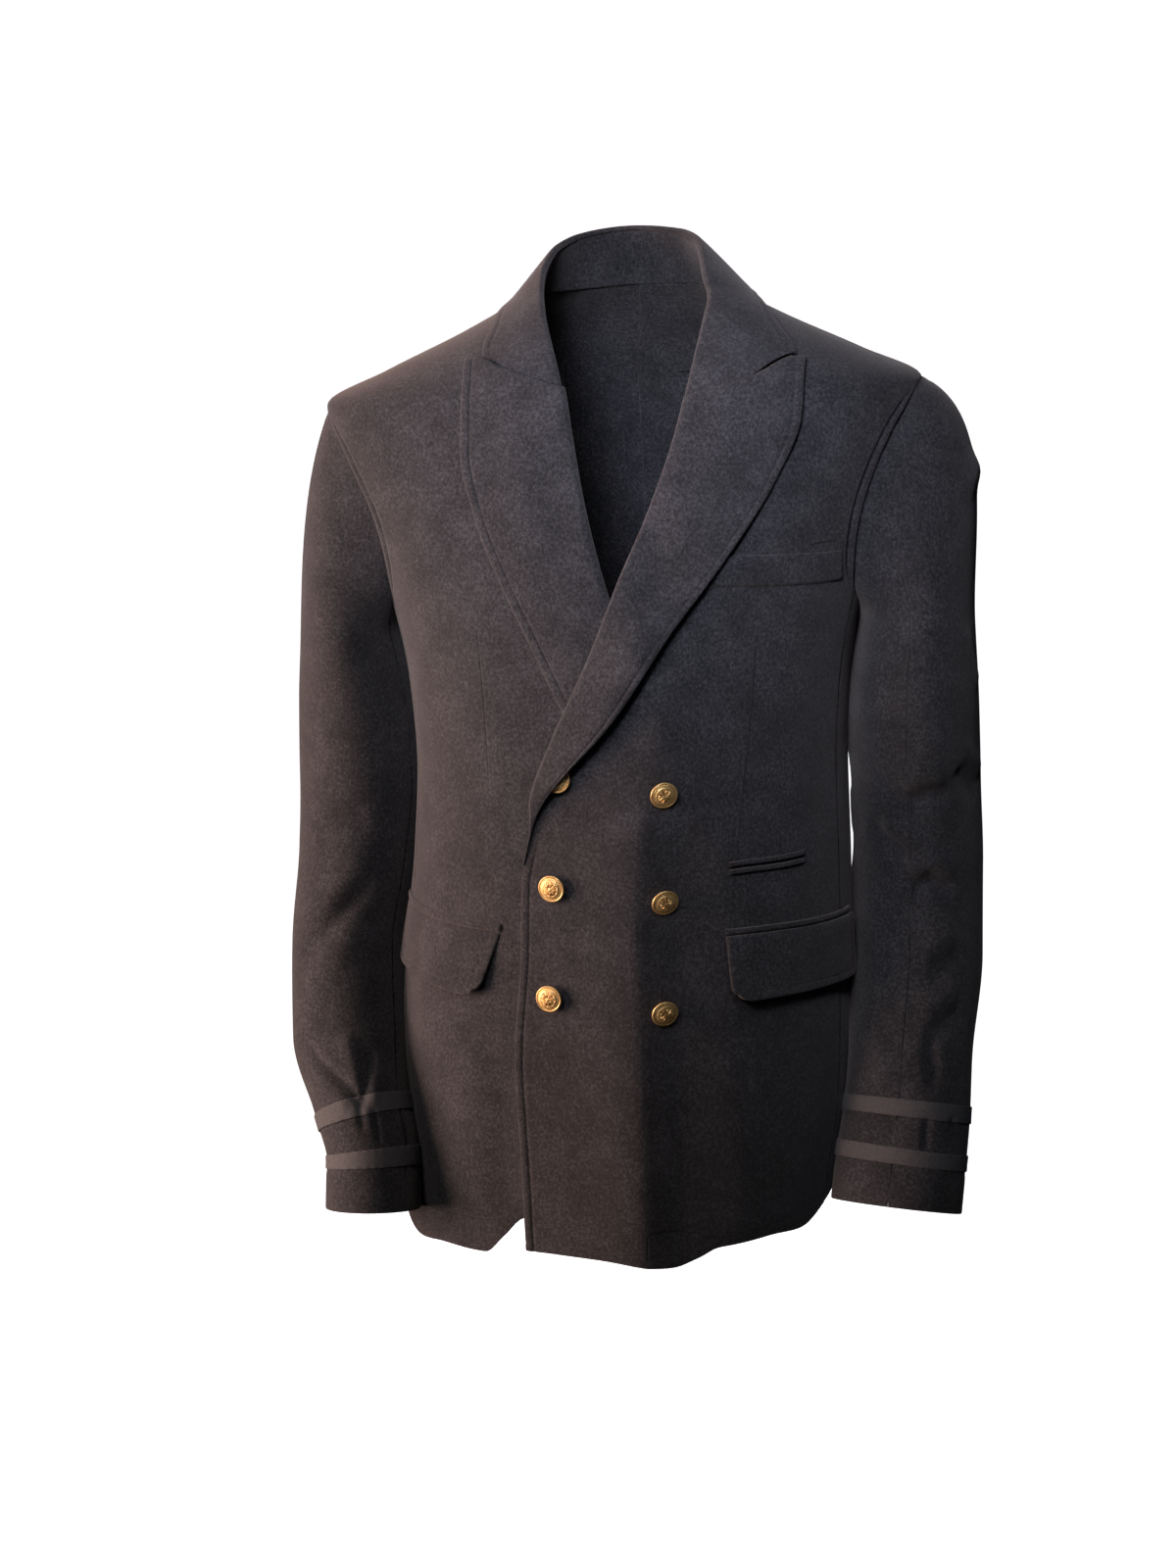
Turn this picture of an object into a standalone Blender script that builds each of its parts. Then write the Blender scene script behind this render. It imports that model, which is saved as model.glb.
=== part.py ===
"""A double-breasted blazer as it is worn, with nobody inside: cloth panels, sleeves, collar, pockets, buttons.

Metres, +Z up, front facing -Y, the wearer's left at +X. The origin is the middle of the neck, level with
the points where the shoulder seams meet the collar. Every cloth piece is a wall between an outer surface
and a copy of it moved in by the cloth's thickness, and neighbouring pieces stay SEAM_GAP apart.
"""

import bpy
import numpy as np

MM = 0.001
CLOTH = 2.0 * MM
SEAM_GAP = 0.3 * MM
RAISED = 0.4 * MM  # air under a tape round its sleeve
FLAT_CLEAR = 0.8 * MM  # air under a piece that lies on a front
TAPE_THICK = 1.0 * MM
NORMAL_STEP = 0.001  # radians round the body, and metres up it, to find its outward direction

# The body from hem to neck. Each row is a ring: middle, half width, depths to front and back, roundness.
BODY_COLUMNS = ("z", "middle", "half", "front", "back", "power")
BODY = (
    (-0.770, -0.019, 0.181, 0.141, 0.121, 2.3),  # below the hem
    (-0.735, -0.018, 0.182, 0.140, 0.121, 2.3),
    (-0.640, -0.011, 0.187, 0.139, 0.119, 2.3),
    (-0.520, -0.005, 0.183, 0.137, 0.111, 2.3),  # hip pockets
    (-0.440, 0.000, 0.177, 0.134, 0.100, 2.3),
    (-0.360, 0.002, 0.173, 0.130, 0.096, 2.3),  # waist
    (-0.300, 0.002, 0.176, 0.128, 0.103, 2.3),
    (-0.235, 0.002, 0.187, 0.126, 0.115, 2.35),  # under the arms
    (-0.170, 0.002, 0.206, 0.120, 0.120, 2.4),
    (-0.110, 0.001, 0.224, 0.108, 0.115, 2.5),
    (-0.0725, 0.001, 0.231, 0.097, 0.106, 2.5),  # shoulder points
    (-0.050, 0.003, 0.185, 0.088, 0.099, 2.4),
    (-0.025, 0.006, 0.127, 0.074, 0.088, 2.2),
    (0.000, 0.008, 0.076, 0.056, 0.074, 2.0),  # neck
)

# The right shoulder hangs lower than the left, more and more from the chest up.
SHOULDER_DROP = 6.5 * MM
SHOULDER_HALF = 0.231
DROP_POWER = 1.5
DROP_BETWEEN = (-0.250, -0.090)

# Levels of the rows below the arms. Above them the rows follow the armhole and then the shoulder.
HEM = -0.742
LOW_LEVELS = (HEM, -0.712, -0.650, -0.580, -0.510, -0.450, -0.405, -0.362, -0.315, -0.268)
SHOULDER_LEVELS = (-0.0725, -0.054, -0.034, -0.012, 0.0)

# The hem's own level round each side's pieces, by degrees from the front; the right front turns up at its edge.
HEM_COLUMNS = ("degrees", "left", "right")
HEM_LINE = (
    (-30.0, -0.744, -0.718),
    (0.0, -0.746, -0.716),
    (16.0, -0.753, -0.717),
    (22.0, -0.748, -0.735),
    (28.0, -0.741, -0.752),
    (43.0, -0.740, -0.754),
    (58.0, -0.744, -0.760),
    (72.0, -0.735, -0.753),
    (90.0, -0.730, -0.746),
    (180.0, -0.742, -0.742),
)
HEM_FADES = 0.08

# The armhole is an egg in angle and height, with this many stations from the shoulder point round.
ARMHOLE_TOP = -0.0725
ARMHOLE_BOTTOM = -0.243
ARMHOLE_FRONT = np.radians(29.0)
ARMHOLE_BACK = np.radians(38.0)
ARMHOLE_ROUNDNESS = 0.85
ARMHOLE_STATIONS = 20
SEAM_STATION = 8  # where the side body's front seam meets the armhole
SIDE_STRETCHES = (("lower", 0, 8), ("upper", 8, 10))  # first and last row of each
FRONT_COLUMNS = 11
BACK_COLUMNS = 8

# Free edge of each front below its lapel.
EDGE_COLUMNS = ("z", "left", "right")
FREE_EDGES = (
    (-0.770, -0.077, 0.077),
    (-0.665, -0.079, 0.077),
    (-0.590, -0.081, 0.077),
    (-0.500, -0.073, 0.076),
    (-0.440, -0.070, 0.073),
)

# Lapels from the break to the gorge: the roll line and the free edge in x and z on the body, the radius
# of the roll, and how far the free edge stands off.
LAPEL_COLUMNS = ("roll_x", "roll_z", "edge_x", "edge_z", "radius", "edge_lift")
LAPELS = {
    "left": (
        (-0.0605, -0.405, -0.0550, -0.402, 0.0016, 0.0000),
        (-0.0530, -0.368, -0.0300, -0.352, 0.0050, 0.0010),
        (-0.0345, -0.322, 0.0060, -0.310, 0.0046, 0.0015),
        (-0.0080, -0.263, 0.0440, -0.252, 0.0036, 0.0020),
        (0.0150, -0.205, 0.0880, -0.194, 0.0026, 0.0010),
        (0.0370, -0.154, 0.1260, -0.136, 0.0024, 0.0000),
        (0.0530, -0.110, 0.1440, -0.092, 0.0024, 0.0000),
        (0.0640, -0.070, 0.1510, -0.0515, 0.0024, 0.0000),
    ),
    "right": (
        (0.0640, -0.405, 0.0590, -0.402, 0.0016, 0.0000),
        (0.0430, -0.348, 0.0080, -0.360, 0.0023, 0.0000),
        (0.0220, -0.290, -0.0300, -0.310, 0.0023, 0.0000),
        (0.0030, -0.236, -0.0550, -0.257, 0.0023, 0.0000),
        (-0.0110, -0.186, -0.0790, -0.204, 0.0024, 0.0000),
        (-0.0210, -0.140, -0.0970, -0.155, 0.0024, 0.0000),
        (-0.0280, -0.100, -0.1070, -0.104, 0.0024, 0.0000),
        (-0.0350, -0.060, -0.1080, -0.041, 0.0024, 0.0000),
    ),
}
LAPEL_BELLY = 1.0 * MM
BELLY_FROM_WIDTH = 50 * MM  # a narrower lapel has less of it
NECK_STEP = {"left": 1.5 * MM, "right": 5.0 * MM}  # the roll line's last step out, at the neck
TURN_DEGREES = (0, 60, 120, 180)  # points round a roll, and then across the part that lies flat
FLAT_SHARES = (0.15, 0.4, 0.65, 0.85, 1.0)

# The collar from the left gorge round the back to the right gorge: where it rolls over, and the angle and
# level of its free edge on the body.
COLLAR_COLUMNS = ("roll_x", "roll_y", "roll_z", "edge_angle", "edge_z")
COLLAR = (
    (0.0642, -0.1000, -0.0696, 43.0, -0.0475),  # gorge
    (0.0760, -0.0480, -0.0120, 68.0, -0.0330),
    (0.0700, 0.0000, 0.0260, 90.0, -0.0165),  # shoulder
    (0.0440, 0.0530, 0.0410, 140.0, -0.0110),
    (0.0040, 0.0690, 0.0440, 180.0, -0.0080),  # middle of the back
    (-0.0360, 0.0530, 0.0390, 220.0, -0.0100),
    (-0.0590, 0.0000, 0.0200, 270.0, -0.0130),  # shoulder
    (-0.0520, -0.0420, -0.0120, 297.0, -0.0270),
    (-0.0352, -0.1000, -0.0592, 332.0, -0.0385),  # gorge
)
COLLAR_STEPS = 2  # rows made from each row of the table to the next
COLLAR_RADIUS = 2.6 * MM
COLLAR_CLEAR = 2.8 * MM
COLLAR_BELLY = 1.5 * MM
COLLAR_LIES = (1.0, 2.0)  # rows of the table from either end: flat on the front, then standing
NOTCH_ROWS = (0.0, 0.9)
STAND_SHARES = (0.0, 0.35, 0.7, 1.0)
STAND_LEAST = 2 * MM
NOTCH_OPENING = 5.5 * MM
NOTCH_ROOT = 0.62  # share of the collar's end that is sewn to the lapel

# The left front rides over the right one, and higher where it crosses the right lapel.
LAP_LIFT = CLOTH + 2 * RAISED
CROSS_LIFT = 8.6 * MM
CROSS_LOW, CROSS_HIGH = -0.450, -0.385
LIFT_ENDS = 6 * MM  # past the right front's edge
LIFT_FADES = 50 * MM
CHEST_LOW, CHEST_HIGH = -0.210, -0.100
CHEST_SHARE = 0.2

# Arms below the shoulder, mirrored for the right: ring centre, half width and half depth.
ARM_COLUMNS = ("z", "x", "y", "half_width", "half_depth")
ARM_LEFT = (
    (-0.262, 0.2297, 0.000, 0.0448, 0.070),
    (-0.325, 0.2280, -0.006, 0.0500, 0.066),
    (-0.390, 0.2288, 0.006, 0.0515, 0.061),
    (-0.460, 0.2311, 0.004, 0.0517, 0.057),
    (-0.530, 0.2311, -0.014, 0.0517, 0.053),
    (-0.600, 0.2260, -0.044, 0.0490, 0.047),
    (-0.650, 0.2223, -0.066, 0.0505, 0.041),
    (-0.685, 0.2180, -0.080, 0.0515, 0.038),
    (-0.717, 0.2147, -0.093, 0.0515, 0.038),
)
ARM_RIGHT = (
    (-0.262, 0.2246, 0.012, 0.0440, 0.070),
    (-0.325, 0.2254, 0.022, 0.0520, 0.065),
    (-0.390, 0.2271, 0.024, 0.0546, 0.061),
    (-0.460, 0.2327, 0.014, 0.0518, 0.058),
    (-0.530, 0.2402, -0.006, 0.0493, 0.056),
    (-0.600, 0.2403, -0.042, 0.0462, 0.053),
    (-0.650, 0.2275, -0.078, 0.0405, 0.050),
    (-0.690, 0.2172, -0.098, 0.0390, 0.050),
    (-0.727, 0.2155, -0.112, 0.0393, 0.050),
)
RUN_STEP = 20 * MM
CAP_ROWS = 4
# Outward and downward run with which a sleeve leaves the armhole, at its top, its sides and its bottom.
CAP_TOP = {"left": (2.0, 0.90), "right": (0.42, 0.90)}
CAP_SIDE = (0.80, 0.55)
CAP_BOTTOM = (0.12, 1.00)
FRONT_SLEEVE_SEAM = {"left": 5, "right": 8}  # station of the seam that shows on the forearm
BACK_SLEEVE_SEAM = 14
# Rows at which a sleeve's solids part, above the elbow and under the head: collision then follows the hollow.
STRETCHES = {
    "top_sleeve": (("head", 0, 4), ("upper", 4, 7), ("fore", 7, 14)),
    "under_sleeve": (("upper", 0, 7), ("fore", 7, 14)),
}
TAPE_HEIGHT = 13 * MM
TAPE_ABOVE_EDGE = {"lower": 34 * MM, "upper": 71 * MM}

# Pockets: lowest and highest place, and the angles or x where they begin and end.
WELT = {"x": (0.076, 0.172), "bottom": (-0.213, -0.217), "top": (-0.190, -0.193)}
WELT_CLEAR = 1.3 * MM  # its outer end lies where the front bends in to the armhole
TICKET_X = (0.087, 0.143)
TICKET_Z = -0.429
TICKET_JET = 5.0 * MM
HIP_FRONT_X = 0.084
HIP_BACK_ANGLE = np.radians(79.0)
HIP_JET_TOP = -0.4755
HIP_JET = 5.5 * MM
HIP_FLAP = 52 * MM
FLAP_SLANT = {"left": 5 * MM, "right": 19 * MM}
FLAP_THICK = 1.5 * CLOTH
WELT_COLUMNS = 8
TICKET_COLUMNS = 6
HIP_COLUMNS = 11
FLAP_ROWS = 4

# Buttons, by x and z: the column that fastens the overlap, then the plain one.
BUTTONS = (
    (-0.0365, -0.355),
    (-0.0440, -0.441),
    (-0.0490, -0.529),
    (0.0400, -0.365),
    (0.0390, -0.449),
    (0.0370, -0.537),
)
BUTTON_PROFILE = (  # radius and height from the cloth, mm: shank, back, rim and dome
    (0.0, 0.0),
    (3.0, 0.0),
    (3.0, 2.5),
    (8.6, 2.5),
    (10.5, 3.3),
    (10.0, 4.7),
    (8.7, 4.3),
    (5.0, 5.5),
    (0.0, 6.0),
)
BUTTON_SIDES = 12
SEAT_STEP = 5 * MM  # either way from a button's middle, to find the cloth's slope under it
BUTTON_CLEAR = 0.55 * MM


# ---- tables, curves and walls ----


def column(table, columns, name):
    return np.array([row[columns.index(name)] for row in table])


def smooth(at, places, values):
    """Cubic curve through the values, with level slopes at peaks so that it never overshoots them."""
    order = np.argsort(places)
    x, y = np.asarray(places)[order], np.asarray(values)[order]
    at = np.clip(at, x[0], x[-1])
    run = np.diff(x)
    rise = np.diff(y) / run
    slope = np.concatenate([rise[:1], np.zeros(len(x) - 2), rise[-1:]])
    same = rise[:-1] * rise[1:] > 0
    both = np.where(same, rise[:-1] + rise[1:], 1.0)
    slope[1:-1] = np.where(same, 2 * rise[:-1] * rise[1:] / both, 0.0)
    k = np.clip(np.searchsorted(x, at, side="right") - 1, 0, len(x) - 2)
    t = (at - x[k]) / run[k]
    return (
        y[k] * (1 + 2 * t) * (1 - t) ** 2
        + y[k + 1] * t**2 * (3 - 2 * t)
        + run[k] * (slope[k] * t * (1 - t) ** 2 - slope[k + 1] * t**2 * (1 - t))
    )


def ease(at, low, high):
    """0 below low, 1 above high, and a soft S between."""
    t = np.clip((at - low) / (high - low), 0, 1)
    return t * t * (3 - 2 * t)


def unit(vectors):
    return vectors / np.linalg.norm(vectors, axis=-1, keepdims=True)


def mix(a, b, t):
    return a + (b - a) * t


def trim_seams(points, gap):
    """Draws each edge of a grid in by half the gap, towards the next row or column."""
    trimmed = points.copy()
    trimmed[0] += unit(points[1] - points[0]) * gap / 2
    trimmed[-1] += unit(points[-2] - points[-1]) * gap / 2
    trimmed[:, 0] += unit(points[:, 1] - points[:, 0]) * gap / 2
    trimmed[:, -1] += unit(points[:, -2] - points[:, -1]) * gap / 2
    return trimmed


def grid_faces(rows, columns, start=0, ring=False):
    """Quads of a grid of points, row by row, closed round its columns if it is a ring."""
    r, c = np.meshgrid(np.arange(rows - 1), np.arange(columns if ring else columns - 1), indexing="ij")
    across = (c + 1) % columns
    quads = np.stack([r * columns + c, r * columns + across, (r + 1) * columns + across,
                      (r + 1) * columns + c], axis=-1)
    return start + quads.reshape(-1, 4)


def wall(outer, inner, ring=False):
    """Closed skin round two grids: the outer one, the inner one turned over, and the rim between them."""
    rows, columns = outer.shape[:2]
    count = rows * columns
    faces = [grid_faces(rows, columns), grid_faces(rows, columns, count)[:, ::-1]]
    if ring:
        faces = [grid_faces(rows, columns, ring=True), grid_faces(rows, columns, count, ring=True)[:, ::-1]]
    index = np.arange(count).reshape(rows, columns)
    if ring:
        rims = [np.append(index[0], index[0, 0]), np.append(index[-1], index[-1, 0])[::-1]]
    else:
        rims = [index[0], index[-1, ::-1], index[::-1, 0], index[:, -1]]
    for rim in rims:
        faces.append(np.stack([rim[1:], rim[:-1], rim[:-1] + count, rim[1:] + count], axis=-1))
    return np.concatenate([outer.reshape(-1, 3), inner.reshape(-1, 3)]), np.concatenate(faces).tolist()


def add_piece(name, points, faces, material, smooth_angle=40):
    """Puts the points and faces into a named mesh object with its faces pointing out."""
    mesh = bpy.data.meshes.new(name)
    mesh.from_pydata(points.tolist(), [], faces)
    if signed_volume(mesh) < 0:
        mesh.flip_normals()
    mesh.shade_smooth()
    mesh.set_sharp_from_angle(angle=np.radians(smooth_angle))
    mesh.materials.append(material)
    piece = bpy.data.objects.new(name, mesh)
    bpy.context.scene.collection.objects.link(piece)
    return piece


def signed_volume(mesh):
    """Six times the volume that the faces enclose, below zero when they point in."""
    mesh.calc_loop_triangles()
    total = 0.0
    for triangle in mesh.loop_triangles:
        a, b, c = (mesh.vertices[i].co for i in triangle.vertices)
        total += a.dot(b.cross(c))
    return total


def make_material(name, colour, roughness, metallic=0.0):
    material = bpy.data.materials.new(name)
    material.use_nodes = True
    shader = material.node_tree.nodes["Principled BSDF"]
    shader.inputs["Base Color"].default_value = (*colour, 1.0)
    shader.inputs["Roughness"].default_value = roughness
    shader.inputs["Metallic"].default_value = metallic
    material.diffuse_color = (*colour, 1.0)
    return material


# ---- the body's surface ----


def ring_values(z):
    places = column(BODY, BODY_COLUMNS, "z")
    return [smooth(z, places, column(BODY, BODY_COLUMNS, name)) for name in BODY_COLUMNS[1:]]


def body(angle, z):
    """Point of the body: a rounded ring, 0 at the front, a quarter turn at the wearer's left."""
    angle, z = np.broadcast_arrays(angle, z)
    middle, half, front, back, power = ring_values(z)
    side, ahead = np.sin(angle), np.cos(angle)
    x = middle + half * np.sign(side) * np.abs(side) ** (2 / power)
    reach = np.where(ahead > 0, front, back)
    y = -reach * np.sign(ahead) * np.abs(ahead) ** (2 / power)
    down = SHOULDER_DROP * np.maximum(-x / SHOULDER_HALF, 0) ** DROP_POWER * ease(z, *DROP_BETWEEN)
    return np.stack([x, y, z - down], axis=-1)


def body_normal(angle, z):
    """Outward direction, from small steps round the ring and up it."""
    step = NORMAL_STEP
    round_it = body(angle + step, z) - body(angle - step, z)
    up_it = body(angle, z + step) - body(angle, z - step)
    return unit(np.cross(round_it, up_it))


def angle_at(x, z):
    """Angle of the front's point at this x and level."""
    middle, half, _front, _back, power = ring_values(np.asarray(z, float))
    share = np.clip((x - middle) / half, -0.999, 0.999)
    return np.sign(share) * np.arcsin(np.abs(share) ** (power / 2))


def on_body(angle, z, out):
    return body(angle, z) + body_normal(angle, z) * np.asarray(out)[..., None]


def inner_edge(side, z):
    """x of a front's inner edge: free below the break, the roll line above it."""
    free, lapel, neck = FREE_EDGES, LAPELS[side], COLLAR[1] if side == "left" else COLLAR[-2]
    places = [*column(free, EDGE_COLUMNS, "z"), *column(lapel, LAPEL_COLUMNS, "roll_z"), neck[2], 0.0]
    values = [*column(free, EDGE_COLUMNS, side), *column(lapel, LAPEL_COLUMNS, "roll_x"), neck[0],
              neck[0] + np.sign(neck[0]) * NECK_STEP[side]]
    return smooth(z, places, values)


def overlap_lift(x, z):
    """How far the left front stands off the body, over the right front and its lapel."""
    height = mix(LAP_LIFT, CROSS_LIFT, ease(z, CROSS_LOW, CROSS_HIGH))
    height = height * mix(1.0, CHEST_SHARE, ease(z, CHEST_LOW, CHEST_HIGH))
    start = inner_edge("right", z) + LIFT_ENDS
    return height * (1 - ease(x, start, start + LIFT_FADES))


def hem_drop(side, angle, z):
    """Moves the lowest rows to the hem's own line, and lets the move fade out above it."""
    degrees = np.degrees(angle if side == "left" else -angle)
    line = smooth(degrees, column(HEM_LINE, HEM_COLUMNS, "degrees"), column(HEM_LINE, HEM_COLUMNS, side))
    return (line - HEM) * (1 - ease(z, HEM, HEM + HEM_FADES))


# ---- armholes ----


def armhole(station):
    """Angle and level of the left armhole's edge, from the shoulder point forwards and round."""
    turn = 2 * np.pi * np.asarray(station) / ARMHOLE_STATIONS
    reach = np.where(np.sin(turn) > 0, ARMHOLE_FRONT, -ARMHOLE_BACK)
    middle, half = (ARMHOLE_TOP + ARMHOLE_BOTTOM) / 2, (ARMHOLE_TOP - ARMHOLE_BOTTOM) / 2
    angle = np.pi / 2 - reach * np.abs(np.sin(turn)) ** ARMHOLE_ROUNDNESS
    return angle, middle + half * np.cos(turn)


def panel_levels():
    rise = armhole(np.arange(SEAM_STATION, 0, -1))[1]
    return np.concatenate([LOW_LEVELS, rise, SHOULDER_LEVELS])


def outer_angles(front):
    """Where a front or a back ends on each level: side seam, then armhole, then shoulder seam."""
    stations = np.arange(SEAM_STATION, 0, -1)
    if not front:
        stations = ARMHOLE_STATIONS - stations
    along = armhole(stations)[0]
    return np.concatenate([np.full(len(LOW_LEVELS), along[0]), along,
                           np.full(len(SHOULDER_LEVELS), np.pi / 2)])


# ---- panels ----


def cloth_panel(name, angles, levels, out, material):
    points = trim_seams(on_body(angles, levels, out), SEAM_GAP)
    normals = body_normal(angles, levels)
    return add_piece(name, *wall(points, points - normals * CLOTH), material)


def front_panel(side, material):
    levels = panel_levels()
    sign = 1 if side == "left" else -1
    inner = angle_at(inner_edge(side, levels), levels)
    angles = mix(inner[:, None], sign * outer_angles(True)[:, None], np.linspace(0, 1, FRONT_COLUMNS))
    z = levels[:, None] + hem_drop(side, angles, levels[:, None])
    x = body(angles, z)[..., 0]
    out = overlap_lift(x, z) if side == "left" else np.zeros_like(x)
    return cloth_panel("front_" + side, angles, z, out, material)


def back_panel(side, material):
    levels = panel_levels()
    sign = 1 if side == "left" else -1
    angles = mix(sign * outer_angles(False)[:, None], sign * np.pi, np.linspace(0, 1, BACK_COLUMNS))
    z = levels[:, None] + hem_drop(side, angles, levels[:, None])
    return cloth_panel("back_" + side, angles, z, np.zeros_like(angles), material)


def side_body(side, material):
    """The strip under the arm, as two solids; its top is the lowest stretch of the armhole."""
    sign = 1 if side == "left" else -1
    stations = np.arange(SEAM_STATION, ARMHOLE_STATIONS - SEAM_STATION + 1)
    angles, tops = armhole(stations)
    levels = np.append(LOW_LEVELS, tops[0])
    share = (levels - HEM) / (tops[0] - HEM)
    z = HEM + share[:, None] * (tops - HEM)
    angles = sign * np.broadcast_to(angles, z.shape)
    z = z + hem_drop(side, angles, z)
    for stretch, low, high in SIDE_STRETCHES:
        rows = slice(low, high + 1)
        cloth_panel(f"side_body_{stretch}_{side}", angles[rows], z[rows], 0 * z[rows], material)


# ---- lapels and collar ----


def turned_profile(radius, edge_out, width, belly):
    """Across a turned piece: distance from the roll and height of its outer and inner faces.

    It starts as thick as the panel it continues, goes round half a circle, and runs out to its free edge
    with a slight belly. Each argument holds one value for each row.
    """
    turn = np.radians(TURN_DEGREES)
    share = np.array(FLAT_SHARES)
    radius, edge_out, width = (np.asarray(v)[:, None] for v in (radius, edge_out, width))
    half = CLOTH / 2
    middle = radius - half
    faces = []
    for grow in (half, -half):
        across = -SEAM_GAP / 2 - (radius + grow) * np.sin(turn)
        height = middle - (radius + grow) * np.cos(turn)
        flat = 2 * radius - half + grow
        rise = flat + edge_out * share + 4 * belly * share * (1 - share)
        faces.append((np.hstack([across, width * share]), np.hstack([height, rise])))
    return faces


def lapel(side, material):
    table = LAPELS[side]
    places = column(table, LAPEL_COLUMNS, "roll_z")
    levels = panel_levels()
    levels = [places[0], *levels[(levels > places[0]) & (levels < places[-1])], places[-1]]
    value = {name: smooth(levels, places, column(table, LAPEL_COLUMNS, name)) for name in LAPEL_COLUMNS}
    value["roll_x"] = inner_edge(side, value["roll_z"])
    width = np.hypot(value["edge_x"] - value["roll_x"], value["edge_z"] - value["roll_z"])
    belly = LAPEL_BELLY * ease(width, 0, BELLY_FROM_WIDTH)[:, None]
    grids = []
    for across, height in turned_profile(value["radius"], value["edge_lift"], width, belly):
        share = across / width[:, None]
        x = mix(value["roll_x"][:, None], value["edge_x"][:, None], share)
        z = mix(value["roll_z"][:, None], value["edge_z"][:, None], share)
        lift = overlap_lift(x, z) if side == "left" else 0.0
        grids.append(on_body(angle_at(x, z), z, height + lift))
    outer, inner = grids
    for grid in grids:
        grid[-1] += unit(grid[-2] - grid[-1]) * SEAM_GAP / 2
    return add_piece("lapel_" + side, *wall(outer, inner), material)


def collar_rows():
    """Rows of the table and some between; on the fronts they lie level with the panels' own rows."""
    rows = np.arange(len(COLLAR))
    end = rows[-1]
    heights = column(COLLAR, COLLAR_COLUMNS, "roll_z")
    fine = np.linspace(0, 1, 201)
    levels = np.array(SHOULDER_LEVELS)
    shared = [levels[(levels > heights[k]) & (levels < heights[1])] for k in (0, end)]
    left = np.interp(shared[0], smooth(fine, rows, heights), fine)
    right = end - np.interp(shared[1], smooth(end - fine, rows, heights), fine)
    between = np.linspace(1, end - 1, COLLAR_STEPS * (end - 2) + 1)
    at = np.concatenate([[0], left, between, right[::-1], [end]])
    value = [smooth(at, rows, column(COLLAR, COLLAR_COLUMNS, name)) for name in COLLAR_COLUMNS]
    return at, np.stack(value[:3], axis=-1), np.radians(value[3]), value[4]


def collar_frame():
    """Roll line, free edge, directions across and up at each row, and how far each row lies on a front."""
    at, roll, edge_angle, edge_z = collar_rows()
    from_end = np.minimum(at, len(COLLAR) - 1 - at)
    on_front = 1 - ease(from_end, *COLLAR_LIES)
    end = 1 - ease(from_end, *NOTCH_ROWS)
    for side, rows in (("left", at <= 1), ("right", at >= len(COLLAR) - 2)):
        roll[rows, 0] = inner_edge(side, roll[rows, 2])
    seat_angle = np.where(at < len(COLLAR) / 2, 0, 2 * np.pi) + angle_at(roll[:, 0], np.minimum(roll[:, 2], 0))
    seat = body(seat_angle, np.minimum(roll[:, 2], 0))
    roll = mix(roll, seat, on_front[:, None])
    edge = on_body(edge_angle, edge_z, np.full_like(edge_z, COLLAR_CLEAR))
    across = unit(edge - roll)
    along = unit(np.gradient(roll, axis=0))
    height = unit(np.cross(across, along))
    return {"roll": roll, "edge": edge, "edge_z": edge_z, "across": across, "height": height,
            "on_front": on_front, "end": end}


def collar_fall(material):
    frame = collar_frame()
    roll, edge, edge_z, on_front, end = (frame[k] for k in ("roll", "edge", "edge_z", "on_front", "end"))
    across, height = frame["across"][:, None], frame["height"][:, None]
    width = np.linalg.norm(edge - roll, axis=-1)
    radius = np.full(len(roll), COLLAR_RADIUS)
    drop = (COLLAR_RADIUS * 2 - CLOTH / 2) * (on_front - 1)
    grids = []
    for distance, rise in turned_profile(radius, drop, width, COLLAR_BELLY):
        share = distance / width[:, None]
        standing = roll[:, None] + across * distance[..., None] + height * rise[..., None]
        low_edge = (edge_z - NOTCH_OPENING * end)[:, None]
        z = mix(np.minimum(roll[:, 2], 0)[:, None], low_edge, share)
        z = z + NOTCH_OPENING * end[:, None] * ease(share, NOTCH_ROOT, 1)
        x = mix(roll[:, :1], edge[:, :1], share)
        lying = on_body(angle_at(x, z), z, rise)
        grids.append(mix(standing, lying, on_front[:, None, None]))
    outer, inner = grids
    for grid in grids:
        grid[0] += unit(grid[1] - grid[0]) * SEAM_GAP / 2
        grid[-1] += unit(grid[-2] - grid[-1]) * SEAM_GAP / 2
    return add_piece("collar_fall", *wall(outer, inner), material)


def collar_stand(material):
    """The wall from the neck seam up to the roll, where the roll stands above the neck."""
    frame = collar_frame()
    standing = frame["roll"][:, 2] > STAND_LEAST
    roll, height = frame["roll"][standing], frame["height"][standing]
    middle, half, front, back, _power = ring_values(np.zeros(len(roll)))
    depth = np.where(roll[:, 1] < 0, front, back)
    angle = np.arctan2((roll[:, 0] - middle) / half, -roll[:, 1] / depth)
    foot = body(angle, np.zeros(len(roll)))
    foot_normal = unit(body_normal(angle, np.zeros(len(roll))) * [1, 1, 0])
    foot[:, 2] += SEAM_GAP
    share = np.array(STAND_SHARES)[:, None, None]
    outer = mix(foot, roll, share)
    outer[-1] += unit(foot - roll) * 2 * SEAM_GAP
    normal = unit(mix(foot_normal, height, share))
    return add_piece("collar_stand", *wall(outer, outer - normal * CLOTH), material)


# ---- sleeves ----


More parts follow.
